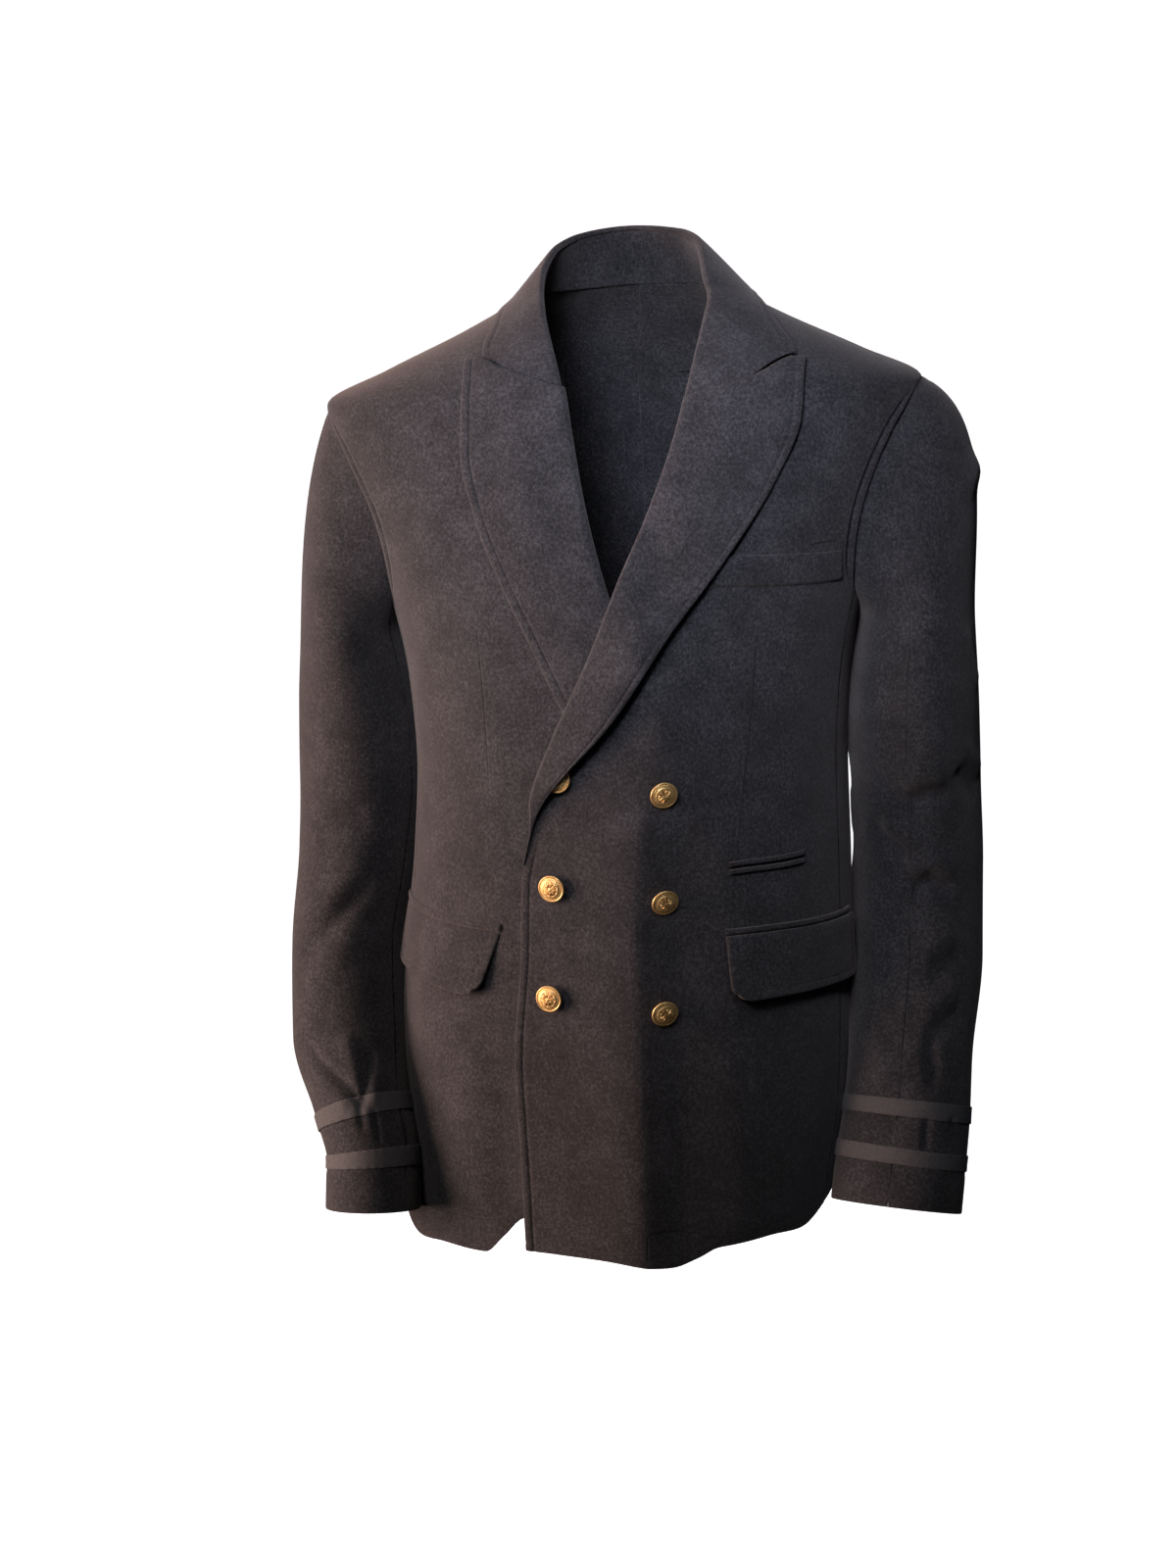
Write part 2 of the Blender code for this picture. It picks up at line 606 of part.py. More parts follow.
def arm_ring(side, level, turn):
    """Ring round the arm at the level of its middle, square to the arm's own run."""
    table = ARM_LEFT if side == "left" else ARM_RIGHT
    sign = 1 if side == "left" else -1
    places = column(table, ARM_COLUMNS, "z")

    def centre(at):
        x, y = (smooth(at, places, column(table, ARM_COLUMNS, name)) for name in ("x", "y"))
        return np.stack([sign * x, y, np.asarray(at, float) + 0 * x], axis=-1)

    half_width, half_depth = (smooth(level, places, column(table, ARM_COLUMNS, name))
                              for name in ("half_width", "half_depth"))
    step = RUN_STEP
    run = unit(centre(np.maximum(level - step, places.min())) - centre(np.minimum(level + step, places.max())))
    outward = np.array([sign, 0.0, 0.0]) - run * (sign * run[..., :1])
    outward = unit(outward)
    forward = np.cross(run, outward) * sign
    return (centre(level) + outward * (half_width * np.cos(turn))[..., None]
            + forward * (half_depth * np.sin(turn))[..., None])


def tape_levels(side):
    """Levels of the arm's middle at the top and bottom of each tape."""
    table = ARM_LEFT if side == "left" else ARM_RIGHT
    levels = np.linspace(table[-1][0], table[-4][0], 60)
    middle = np.mean([arm_ring(side, levels, np.full(60, turn)) for turn in (0, np.pi)], axis=0)
    run = np.concatenate([[0], np.cumsum(np.linalg.norm(np.diff(middle, axis=0), axis=-1))])
    return {name: np.interp([above + TAPE_HEIGHT, above], run, levels)
            for name, above in TAPE_ABOVE_EDGE.items()}


def cap_start(side, stations):
    """Outward and downward run with which the sleeve leaves the armhole at each station."""
    top = np.cos(2 * np.pi * stations / ARMHOLE_STATIONS)[:, None]
    run = mix(np.array(CAP_SIDE), np.array(CAP_TOP[side]), np.maximum(top, 0))
    return (run + (np.array(CAP_BOTTOM) - CAP_SIDE) * np.maximum(-top, 0)).T


def sleeve_grids(side):
    """Outer and inner faces of the whole sleeve, row by row from the armhole, with its stations across."""
    sign = 1 if side == "left" else -1
    stations = np.arange(ARMHOLE_STATIONS)
    turn = 2 * np.pi * stations / ARMHOLE_STATIONS
    angle, level = armhole(stations)
    edge = body(sign * angle, level)
    table = ARM_LEFT if side == "left" else ARM_RIGHT
    top = table[0][0]
    first = arm_ring(side, np.full(ARMHOLE_STATIONS, top), turn)
    below = arm_ring(side, np.full(ARMHOLE_STATIONS, top - RUN_STEP), turn)
    outward, down = cap_start(side, stations)
    leave = unit(np.stack([sign * outward, 0 * outward, -down], axis=-1))
    reach = np.linalg.norm(first - edge, axis=-1, keepdims=True)
    t = (np.arange(CAP_ROWS) / CAP_ROWS)[:, None, None]
    cap = (edge * (1 + 2 * t) * (1 - t) ** 2 + first * t * t * (3 - 2 * t)
           + leave * reach * t * (1 - t) ** 2 - unit(below - first) * reach * t * t * (1 - t))
    tapes = tape_levels(side)
    levels = [row[0] for row in table[:-3]] + [*tapes["upper"], *tapes["lower"], table[-1][0]]
    arm = arm_ring(side, np.array(levels)[:, None] + 0 * turn, turn[None] + 0 * np.array(levels)[:, None])
    outer = np.concatenate([cap, arm])
    round_it = np.roll(outer, -1, axis=1) - np.roll(outer, 1, axis=1)
    normals = unit(np.cross(round_it, np.gradient(outer, axis=0))) * sign
    body_out = body_normal(sign * angle, level)
    into = unit(np.cross(body_out, round_it[0]))
    into *= np.sign(np.sum(into * (edge.mean(axis=0) - edge), axis=-1, keepdims=True))
    rim = normals[0] - into * np.maximum(np.sum(normals[0] * into, axis=-1, keepdims=True), 0)
    rim = unit(rim - round_it[0] * np.sum(rim * round_it[0], axis=-1, keepdims=True)
               / np.sum(round_it[0] ** 2, axis=-1, keepdims=True))
    turned = np.sum(rim * body_out, axis=-1, keepdims=True) < 0
    outer[0] += np.where(turned, -rim, into) * SEAM_GAP
    normals[0] = rim
    return outer, outer - normals * CLOTH, normals


def trim_rows(points, first, last):
    """Draws the first or the last row of a grid in by half a seam gap."""
    if first:
        points[0] += unit(points[1] - points[0]) * SEAM_GAP / 2
    if last:
        points[-1] += unit(points[-2] - points[-1]) * SEAM_GAP / 2


def sleeve(side, name, first, last, material):
    """The cloth between two seams of a sleeve, as one solid for each of its stretches."""
    outer, inner, _normals = sleeve_grids(side)
    stations = np.arange(first, last + 1) % ARMHOLE_STATIONS
    for stretch, top, bottom in STRETCHES[name]:
        grids = []
        for grid in (outer[top:bottom + 1], inner[top:bottom + 1]):
            piece = grid[:, stations].copy()
            piece[:, 0] += unit(grid[:, stations[1]] - grid[:, stations[0]]) * SEAM_GAP / 2
            piece[:, -1] += unit(grid[:, stations[-2]] - grid[:, stations[-1]]) * SEAM_GAP / 2
            trim_rows(piece, top > 0, bottom < len(outer) - 1)
            grids.append(piece)
        add_piece(f"{name}_{stretch}_{side}", *wall(*grids), material)


def cuff_tape(side, name, material):
    levels = tape_levels(side)[name]
    turn = 2 * np.pi * np.arange(ARMHOLE_STATIONS) / ARMHOLE_STATIONS
    rows = arm_ring(side, levels[:, None] + 0 * turn, turn[None] + 0 * levels[:, None])
    round_it = np.roll(rows, -1, axis=1) - np.roll(rows, 1, axis=1)
    sign = 1 if side == "left" else -1
    normals = unit(np.cross(round_it, np.broadcast_to(rows[1] - rows[0], rows.shape))) * sign
    inner = rows + normals * RAISED
    outer = inner + normals * TAPE_THICK
    return add_piece(f"cuff_tape_{name}_{side}", *wall(outer, inner, ring=True), material)


# ---- pockets and buttons ----


def patch(name, side, angles, z, material, out=FLAT_CLEAR, thick=CLOTH):
    """A piece lying on a front: grids of angles and levels, and how far out it starts."""
    x = body(angles, z)[..., 0]
    lift = overlap_lift(x, z) if side == "left" else 0.0
    inner = on_body(angles, z, out + lift)
    outer = on_body(angles, z, out + thick + lift)
    return add_piece(name, *wall(outer, inner), material)


def chest_welt(material):
    share = np.linspace(0, 1, WELT_COLUMNS)
    rows = np.array([0.0, 1.0])[:, None]
    z = mix(mix(*WELT["bottom"], share), mix(*WELT["top"], share), rows)
    x = mix(*WELT["x"], share) + 0 * z
    return patch("chest_welt", "left", angle_at(x, z), z, material, out=WELT_CLEAR)


def ticket_jet(name, top, material):
    x = np.linspace(*TICKET_X, TICKET_COLUMNS)
    z = np.array([top - TICKET_JET, top])[:, None] + 0 * x
    return patch("ticket_jet_" + name, "left", angle_at(x + 0 * z, z), z, material)


def hip_pocket(side, material):
    sign = 1 if side == "left" else -1
    front = angle_at(sign * HIP_FRONT_X, HIP_JET_TOP)
    angles = np.linspace(front, sign * HIP_BACK_ANGLE, HIP_COLUMNS)
    z = np.array([HIP_JET_TOP - HIP_JET, HIP_JET_TOP])[:, None] + 0 * angles
    jet = patch("hip_jet_" + side, side, angles + 0 * z, z, material)
    top = HIP_JET_TOP - HIP_JET - SEAM_GAP
    drop = np.linspace(1, 0, FLAP_ROWS)[:, None]
    share = np.linspace(0, 1, HIP_COLUMNS)
    z = top - HIP_FLAP * drop + 0 * share
    slant = angle_at(sign * (HIP_FRONT_X + FLAP_SLANT[side]), HIP_JET_TOP) - front
    angles = angles + slant * drop * (1 - share)
    return jet, patch("hip_flap_" + side, side, angles, z, material, thick=FLAP_THICK)


def left_face(x, z):
    """Point of the left front's outer face."""
    return on_body(angle_at(x, z), z, overlap_lift(x, z))


def button(name, x, z, material):
    """A domed button on its shank, turned about the cloth's own outward direction."""
    step = SEAT_STEP
    across = left_face(x + step, z) - left_face(x - step, z)
    axis = unit(np.cross(across, left_face(x, z + step) - left_face(x, z - step)))
    seat = left_face(x, z) + axis * BUTTON_CLEAR
    level = unit(np.cross(axis, [0.0, 0.0, 1.0]))
    upward = np.cross(level, axis)
    turn = 2 * np.pi * np.arange(BUTTON_SIDES) / BUTTON_SIDES
    radius, height = np.array(BUTTON_PROFILE[1:-1]).T * MM
    ring = level * np.cos(turn)[:, None] + upward * np.sin(turn)[:, None]
    rows = seat + ring * radius[:, None, None] + axis * height[:, None, None]
    top = seat + axis * BUTTON_PROFILE[-1][1] * MM
    points = np.concatenate([rows.reshape(-1, 3), [seat, top]])
    faces = grid_faces(len(rows), BUTTON_SIDES, ring=True).tolist()
    last = (len(rows) - 1) * BUTTON_SIDES
    for k in range(BUTTON_SIDES):
        after = (k + 1) % BUTTON_SIDES
        faces.append([len(points) - 2, after, k])
        faces.append([len(points) - 1, last + k, last + after])
    return add_piece(name, points, faces, material)


def build():
    for old in list(bpy.data.objects):
        bpy.data.objects.remove(old)
    wool = make_material("wool_flannel", (0.012, 0.011, 0.013), 0.95)
    tape = make_material("ribbed_tape", (0.040, 0.036, 0.034), 0.85)
    brass = make_material("antique_brass", (0.56, 0.33, 0.13), 0.35, 1.0)
    for side in ("left", "right"):
        front_panel(side, wool)
        side_body(side, wool)
        back_panel(side, wool)
        lapel(side, wool)
        sleeve(side, "under_sleeve", FRONT_SLEEVE_SEAM[side], BACK_SLEEVE_SEAM, wool)
        sleeve(side, "top_sleeve", BACK_SLEEVE_SEAM,
               FRONT_SLEEVE_SEAM[side] + ARMHOLE_STATIONS, wool)
        for name in TAPE_ABOVE_EDGE:
            cuff_tape(side, name, tape)
        hip_pocket(side, wool)
    collar_fall(wool)
    collar_stand(wool)
    chest_welt(wool)
    ticket_jet("upper", TICKET_Z + TICKET_JET + SEAM_GAP, wool)
    ticket_jet("lower", TICKET_Z, wool)
    for number, (x, z) in enumerate(BUTTONS, start=1):
        button(f"button_{number}", x, z, brass)


build()
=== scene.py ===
"""Looks of a double-breasted blazer in dark napped wool, in its worn shape with nobody inside.

Every cloth piece is a thin closed wall on the form of its solid: a grid of points worked out from the
garment's own sizes, with seams, stitched edges and soft folds raised or sunk in it. Metres, +Z up, the
front faces -Y, the wearer's left is +X, and the origin is the middle of the neck.
"""

import bpy
import numpy as np
from mathutils import Matrix


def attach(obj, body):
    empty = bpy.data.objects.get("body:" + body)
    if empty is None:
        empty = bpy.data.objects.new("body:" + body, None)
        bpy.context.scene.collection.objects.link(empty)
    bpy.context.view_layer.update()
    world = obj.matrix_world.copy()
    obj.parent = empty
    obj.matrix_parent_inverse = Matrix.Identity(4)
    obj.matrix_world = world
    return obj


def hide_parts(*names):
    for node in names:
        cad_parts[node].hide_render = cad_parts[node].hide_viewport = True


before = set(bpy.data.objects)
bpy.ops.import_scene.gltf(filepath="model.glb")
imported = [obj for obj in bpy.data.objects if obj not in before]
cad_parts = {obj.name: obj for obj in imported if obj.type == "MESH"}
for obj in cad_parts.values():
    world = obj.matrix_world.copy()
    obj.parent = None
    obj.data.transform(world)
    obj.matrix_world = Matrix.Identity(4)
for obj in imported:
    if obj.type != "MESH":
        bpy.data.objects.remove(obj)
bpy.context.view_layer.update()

MM = 0.001
THICK = 1.8 * MM
GAP = 0.3 * MM
MARK_REACH = 7 * MM  # sewn lines are marked on the grid as far as this from them
MARK_FADES = 4 * MM
FOLD_TAPER = 0.22  # share of a fold's length at each end
STITCHED_IN = 7 * MM
ALLOWANCE_SHOWS = {"left": (0.8, 4.0), "right": (1.0, 2.2)}  # how narrow and how strong beside an armhole
CELL = 3.6 * MM  # grid spacing on large pieces
FINE_CELL = 2.6 * MM  # on lapels, collar and pockets
SIGN = {"left": 1, "right": -1}
STRETCHES = {  # the solids that one sheet stands for
    "side_body": ("lower", "upper"),
    "top_sleeve": ("head", "upper", "fore"),
    "under_sleeve": ("upper", "fore"),
}


def table(names, *rows):
    """Columns of a table by name."""
    return dict(zip(names.split(), np.array(rows).T))


# ---- sizes of the body, its edges and its hem ----

BODY = table(
    "z middle half front back power",
    (-0.770, -0.019, 0.181, 0.141, 0.121, 2.3),  # below the hem
    (-0.735, -0.018, 0.182, 0.140, 0.121, 2.3),
    (-0.640, -0.011, 0.187, 0.139, 0.119, 2.3),
    (-0.520, -0.005, 0.183, 0.137, 0.111, 2.3),  # hip pockets
    (-0.440, 0.000, 0.177, 0.134, 0.100, 2.3),
    (-0.360, 0.002, 0.173, 0.130, 0.096, 2.3),  # waist
    (-0.300, 0.002, 0.176, 0.128, 0.103, 2.3),
    (-0.235, 0.002, 0.187, 0.126, 0.115, 2.35),  # under the arms
    (-0.170, 0.002, 0.206, 0.120, 0.120, 2.4),
    (-0.110, 0.001, 0.224, 0.108, 0.115, 2.5),
    (-0.0725, 0.001, 0.231, 0.097, 0.106, 2.5),  # shoulder points
    (-0.050, 0.003, 0.185, 0.088, 0.099, 2.4),
    (-0.025, 0.006, 0.127, 0.074, 0.088, 2.2),
    (0.000, 0.008, 0.076, 0.056, 0.074, 2.0),  # neck
)
SHOULDER_DROP = 11.0 * MM  # how much lower the right shoulder hangs
SHOULDER_HALF = 0.231
DROP_POWER = 0.85
DROP_BETWEEN = (-0.250, -0.090)

HEM = -0.742
HEM_FADES = 0.08
HEM_LINE = table(
    "degrees left right",
    (-30.0, -0.744, -0.718),
    (0.0, -0.746, -0.716),
    (16.0, -0.753, -0.717),
    (22.0, -0.748, -0.735),
    (28.0, -0.741, -0.752),
    (43.0, -0.740, -0.754),
    (58.0, -0.744, -0.760),
    (72.0, -0.735, -0.753),
    (90.0, -0.730, -0.746),
    (180.0, -0.742, -0.742),
)

ARMHOLE_TOP = -0.0725
ARMHOLE_BOTTOM = -0.243
ARMHOLE_FRONT = np.radians(29.0)
ARMHOLE_BACK = np.radians(38.0)
ARMHOLE_ROUNDNESS = 0.85
SEAM_TURN = np.radians(144.0)  # where the side body's front seam meets the armhole

FREE_EDGES = table(  # x of the fronts' free edges
    "z left right",
    (-0.770, -0.077, 0.077),
    (-0.665, -0.079, 0.077),
    (-0.590, -0.081, 0.077),
    (-0.500, -0.073, 0.076),
    (-0.440, -0.070, 0.073),
)
LAPEL_COLUMNS = "roll_x roll_z edge_x edge_z radius edge_lift"
LAPELS = {
    "left": table(
        LAPEL_COLUMNS,
        (-0.0665, -0.425, -0.0655, -0.4240, 0.0009, 0.0000),
        (-0.0595, -0.400, -0.0565, -0.3940, 0.0014, 0.0000),
        (-0.0560, -0.385, -0.0475, -0.3755, 0.0028, 0.0005),
        (-0.0530, -0.368, -0.0300, -0.3520, 0.0046, 0.0010),
        (-0.0345, -0.322, 0.0060, -0.310, 0.0046, 0.0015),
        (-0.0080, -0.263, 0.0440, -0.252, 0.0036, 0.0020),
        (0.0150, -0.205, 0.0880, -0.194, 0.0026, 0.0010),
        (0.0370, -0.154, 0.1260, -0.136, 0.0024, 0.0000),
        (0.0530, -0.110, 0.1440, -0.092, 0.0024, 0.0000),
        (0.0628, -0.0745, 0.1465, -0.0530, 0.0024, 0.0000),
    ),
    "right": table(
        LAPEL_COLUMNS,
        (0.0640, -0.405, 0.0590, -0.402, 0.0016, 0.0000),
        (0.0430, -0.348, 0.0080, -0.360, 0.0023, 0.0000),
        (0.0220, -0.290, -0.0300, -0.310, 0.0023, 0.0000),
        (0.0030, -0.236, -0.0550, -0.257, 0.0023, 0.0000),
        (-0.0110, -0.186, -0.0790, -0.204, 0.0024, 0.0000),
        (-0.0210, -0.140, -0.0970, -0.155, 0.0024, 0.0000),
        (-0.0280, -0.100, -0.1070, -0.104, 0.0024, 0.0000),
        (-0.0340, -0.0655, -0.1060, -0.0440, 0.0024, 0.0000),
    ),
}
LAPEL_SWELL = 1.6 * MM
GORGE = {  # the seam from the roll to the notch's root, then the lapel's top edge to its tip
    "left": table("x z", (0.0628, -0.0745), (0.1110, -0.0629), (0.1370, -0.0525), (0.1465, -0.0530)),
    "right": table("x z", (-0.0340, -0.0655), (-0.0774, -0.0508), (-0.0918, -0.0450), (-0.1060, -0.0440)),
}
GORGE_FADES = 30 * MM
NECK_STEP = {"left": 1.5 * MM, "right": 5.0 * MM}

COLLAR = table(  # round the neck from the left gorge to the right one, angles in degrees
    "roll_x roll_y roll_z edge_angle edge_z",
    (0.0628, -0.1000, -0.0745, 42.8, -0.0505),  # gorge
    (0.0760, -0.0480, -0.0120, 61.0, -0.0255),
    (0.0680, 0.0000, 0.0230, 91.0, -0.0115),  # shoulder
    (0.0430, 0.0530, 0.0385, 140.0, -0.0110),
    (0.0040, 0.0690, 0.0420, 180.0, -0.0080),  # middle of the back
    (-0.0350, 0.0530, 0.0370, 220.0, -0.0100),
    (-0.0560, 0.0000, 0.0180, 270.0, -0.0075),  # shoulder
    (-0.0500, -0.0420, -0.0120, 304.0, -0.0180),
    (-0.0340, -0.1000, -0.0655, 330.0, -0.0435),  # gorge
)
COLLAR_RADIUS = 2.4 * MM
COLLAR_CLEAR = 2.8 * MM
COLLAR_BELLY = 1.5 * MM
COLLAR_LIES = (0.9, 2.5)
NECK_SOFT = 5 * MM
NOTCH_ROWS = (0.0, 0.9)
NOTCH_OPENING = 2.0 * MM
NOTCH_ROOT = {"left": 0.6, "right": 0.68}  # share of the collar's end that is sewn to the lapel
STAND_LEAST = 2 * MM

LAP_LIFT = 2.8 * MM
CROSS_LIFT = 8.6 * MM
CROSS_LOW, CROSS_HIGH = -0.450, -0.385
LIFT_ENDS = 6 * MM
LIFT_FADES = 50 * MM
CHEST_LOW, CHEST_HIGH = -0.210, -0.100
CHEST_SHARE = 0.2

# ---- sizes of the sleeves ----

ARM_COLUMNS = "z x y half_width half_depth"
ARMS = {
    "left": table(
        ARM_COLUMNS,
        (-0.262, 0.2297, 0.000, 0.0448, 0.070),
        (-0.325, 0.2280, -0.006, 0.0500, 0.066),
        (-0.390, 0.2288, 0.006, 0.0515, 0.061),
        (-0.460, 0.2311, 0.004, 0.0517, 0.057),
        (-0.530, 0.2311, -0.014, 0.0517, 0.053),
        (-0.600, 0.2260, -0.044, 0.0490, 0.047),
        (-0.650, 0.2223, -0.066, 0.0505, 0.041),
        (-0.685, 0.2180, -0.080, 0.0515, 0.038),
        (-0.717, 0.2147, -0.093, 0.0515, 0.038),
    ),
    "right": table(
        ARM_COLUMNS,
        (-0.262, 0.2246, 0.012, 0.0440, 0.070),
        (-0.325, 0.2254, 0.022, 0.0520, 0.065),
        (-0.390, 0.2271, 0.024, 0.0546, 0.061),
        (-0.460, 0.2327, 0.014, 0.0518, 0.058),
        (-0.530, 0.2402, -0.006, 0.0493, 0.056),
        (-0.600, 0.2355, -0.040, 0.0494, 0.050),
        (-0.650, 0.2205, -0.074, 0.0405, 0.047),
        (-0.690, 0.2100, -0.092, 0.0380, 0.046),
        (-0.727, 0.2097, -0.105, 0.0380, 0.046),
    ),
}
CAP_TOP = {"left": (2.0, 0.90), "right": (0.42, 0.90)}  # outward and downward run off the armhole
CAP_SIDE = (0.80, 0.55)
CAP_BOTTOM = (0.12, 1.00)
RUN_STEP = 20 * MM
FRONT_SLEEVE_SEAM = {"left": np.radians(97.0), "right": np.radians(148.0)}
BACK_SLEEVE_SEAM = np.radians(252.0)
TAPE_HEIGHT = 13 * MM
TAPE_THICK = 0.8 * MM
TAPE_ABOVE_EDGE = {"lower": 34 * MM, "upper": 71 * MM}

# ---- pockets and buttons ----

WELT = {"x": (0.076, 0.172), "bottom": (-0.213, -0.217), "top": (-0.190, -0.193)}
TICKET_X = (0.087, 0.143)
TICKET_Z = -0.429
TICKET_JET = 4.7 * MM
TICKET_SLIT = 1.5 * MM
HIP_FRONT_X = {"left": 0.084, "right": 0.088}
HIP_BACK_ANGLE = np.radians(79.0)
HIP_JET_TOP = -0.4755
HIP_JET = 5.5 * MM
HIP_FLAP = 52 * MM
HIP_SAG = {"left": 9.5 * MM, "right": 1.0 * MM}  # of a pocket's back end
FLAP_SLANT = {"left": 5 * MM, "right": 12 * MM}
BUTTONS = (
    (-0.0365, -0.355),
    (-0.0440, -0.441),
    (-0.0490, -0.529),
    (0.0400, -0.365),
    (0.0390, -0.449),
    (0.0370, -0.537),
)

# Distances from an edge, mm, at which the grids have a line: a rounded rim, then the stitched edge's relief.
RIM = 1.5
SEAM_LINES = (-0.4, -0.25, 0.1, 0.6, 1.2, 2.4)
STITCHED_LINES = (0.0, 0.15, 0.6, RIM, 2.6, 4.2, 5.8, 6.5, 7.0, 7.6, 8.4, 10.5)
FOLD_LINES = (0.0,)


# ---- curves and grids ----


def smooth(at, places, values):
    """Cubic curve through the values, with level slopes at peaks so that it never overshoots them."""
    order = np.argsort(places)
    x, y = np.asarray(places)[order], np.asarray(values)[order]
    at = np.clip(at, x[0], x[-1])
    run = np.diff(x)
    rise = np.diff(y) / run
    slope = np.concatenate([rise[:1], np.zeros(len(x) - 2), rise[-1:]])
    same = rise[:-1] * rise[1:] > 0
    both = np.where(same, rise[:-1] + rise[1:], 1.0)
    slope[1:-1] = np.where(same, 2 * rise[:-1] * rise[1:] / both, 0.0)
    k = np.clip(np.searchsorted(x, at, side="right") - 1, 0, len(x) - 2)
    t = (at - x[k]) / run[k]
    return (
        y[k] * (1 + 2 * t) * (1 - t) ** 2
        + y[k + 1] * t**2 * (3 - 2 * t)
        + run[k] * (slope[k] * t * (1 - t) ** 2 - slope[k + 1] * t**2 * (1 - t))
    )


def read(columns, at, *names, by=None):
    """The named columns, or all but the first, at these places of the first column or of another one."""
    by = columns[by] if by else next(iter(columns.values()))
    values = [smooth(at, by, columns[name]) for name in names or list(columns)[1:]]
    return values[0] if len(values) == 1 else values


def ease(at, low, high):
    """0 below low, 1 above high, and a soft S between."""
    t = np.clip((at - low) / (high - low), 0, 1)
    return t * t * (3 - 2 * t)


def bump(at, middle, width):
    """A bell of height 1."""
    return np.exp(-(((at - middle) / width) ** 2))


def unit(vectors):
    """The same directions, 1 long."""
    return vectors / np.maximum(np.linalg.norm(vectors, axis=-1, keepdims=True), 1e-12)


def mix(a, b, t):
    """From a at t = 0 straight to b at t = 1."""
    return a + (b - a) * t


def run_length(points, axis):
    """Running length along one axis of a grid of points."""
    steps = np.linalg.norm(np.diff(points, axis=axis), axis=-1)
    pads = [(0, 0), (0, 0)]
    pads[axis] = (1, 0)
    return np.cumsum(np.pad(steps, pads), axis=axis)


def spread(length, cell, first, last):
    """Distances along each length: on the first and last lines, in mm from either end, and even between."""
    length = np.atleast_1d(length)[:, None]
    first, last = np.array(first) * MM, np.array(last)[::-1] * MM
    needed = first[-1] + last[0] + 2 * cell
    squeeze = np.minimum(1, length / needed)
    low, high = first[-1] * squeeze, length - last[0] * squeeze
    count = max(int(np.ceil((high - low).max() / cell)), 2)
    share = np.arange(1, count) / count
    return np.hstack([first * squeeze, low + (high - low) * share, length - last * squeeze])


def grid_normals(points, ring=False):
    """Unit normals of a grid from its neighbours on either side; across runs before along."""
    if ring:
        across = np.roll(points, -1, axis=1) - np.roll(points, 1, axis=1)
    else:
        across = np.gradient(points, axis=1)
    return unit(np.cross(across, np.gradient(points, axis=0)))


def evenly(samples, points, cell, first, last):
    """Samples along each row of points, at set distances from its ends and even between them."""
    along = run_length(points, 1)
    at = spread(along[:, -1], cell, first, last)
    rows = np.broadcast_to(samples, along.shape)
    return np.array([np.interp(place, run, row) for place, run, row in zip(at, along, rows)])


def along_path(x, z, path):
    """Distance from a path of (x, z) points in mm, signed by its side, place along it, and its length."""
    path = np.array(path) * MM
    x, z = np.broadcast_arrays(x, z)
    nearest, along = np.full(x.shape, np.inf), np.zeros(x.shape)
    done = 0.0
    for start, leg in zip(path[:-1], np.diff(path, axis=0)):
        length = np.hypot(*leg)
        over, up = x - start[0], z - start[1]
        t = np.clip((over * leg[0] + up * leg[1]) / length**2, 0, 1)
        side = np.where(over * leg[1] < up * leg[0], -1, 1)
        away = np.hypot(over - t * leg[0], up - t * leg[1]) * side
        closer = np.abs(away) < np.abs(nearest)
        nearest = np.where(closer, away, nearest)
        along = np.where(closer, done + t * length, along)
        done += length
    return nearest, along, done


def folded(x, z, folds):
    """Height of soft ridges and troughs: bells across their paths, which taper off at both ends."""
    height = 0.0
    for width, top, *path in folds:
        away, along, total = along_path(x, z, path)
        taper = ease(along / total, 0, FOLD_TAPER) * (1 - ease(along / total, 1 - FOLD_TAPER, 1))
        height = height + top * MM * bump(away, 0, width * MM) * taper
    return height


def nearer_line(marks, away, shown):
    """Marks of whichever sewn line is nearer: mm from it, signed by its side, how much it shows, and 0."""
    new = np.stack(np.broadcast_arrays(away / MM, shown, 0.0), axis=-1)
    return np.where(np.abs(new[..., :1]) < np.abs(marks[..., :1]), new, marks)


def sewn_marks(x, z, lines):
    """The same marks for the nearest of several lines, each with how much it shows and its path."""
    marks = np.zeros((*np.broadcast(x, z).shape, 3)) + [MARK_REACH / MM, 0, 0]
    for strength, *path in lines:
        away, along, total = along_path(x, z, path)
        shown = strength * ease(along, 0, MARK_FADES) * ease(total - along, 0, MARK_FADES)
        marks = nearer_line(marks, away, shown)
    return marks


def stitched(d):
    """Height at d in from an edge sewn through: a full rim, a groove at 7 mm, a slight swell past it."""
    d = d / MM
    rim = 0.50 * ease(d, 0, 2.2) * (1 - ease(d, 4.6, 6.8))
    return (rim - 0.50 * bump(d, 7.0, 0.75) + 0.12 * bump(d, 10.0, 2.4)) * MM


def grid_quads(index):
    """Faces between the points of a grid, from their numbers."""
    return np.stack([index[:-1, :-1], index[:-1, 1:], index[1:, 1:], index[1:, :-1]], axis=-1).reshape(-1, 4)


# ---- making pieces ----


def shell_faces(rows, columns, ring):
    """Quads of two grids joined at their edges: the outer one, then the inner one turned over."""
    outer = np.arange(rows * columns).reshape(rows, columns)
    inner = outer + rows * columns
    inner[0], inner[-1] = outer[0], outer[-1]
    if not ring:
        inner[:, 0], inner[:, -1] = outer[:, 0], outer[:, -1]
    else:
        outer, inner = (np.hstack([grid, grid[:, :1]]) for grid in (outer, inner))
    return np.concatenate([grid_quads(outer), grid_quads(inner)[:, ::-1]])


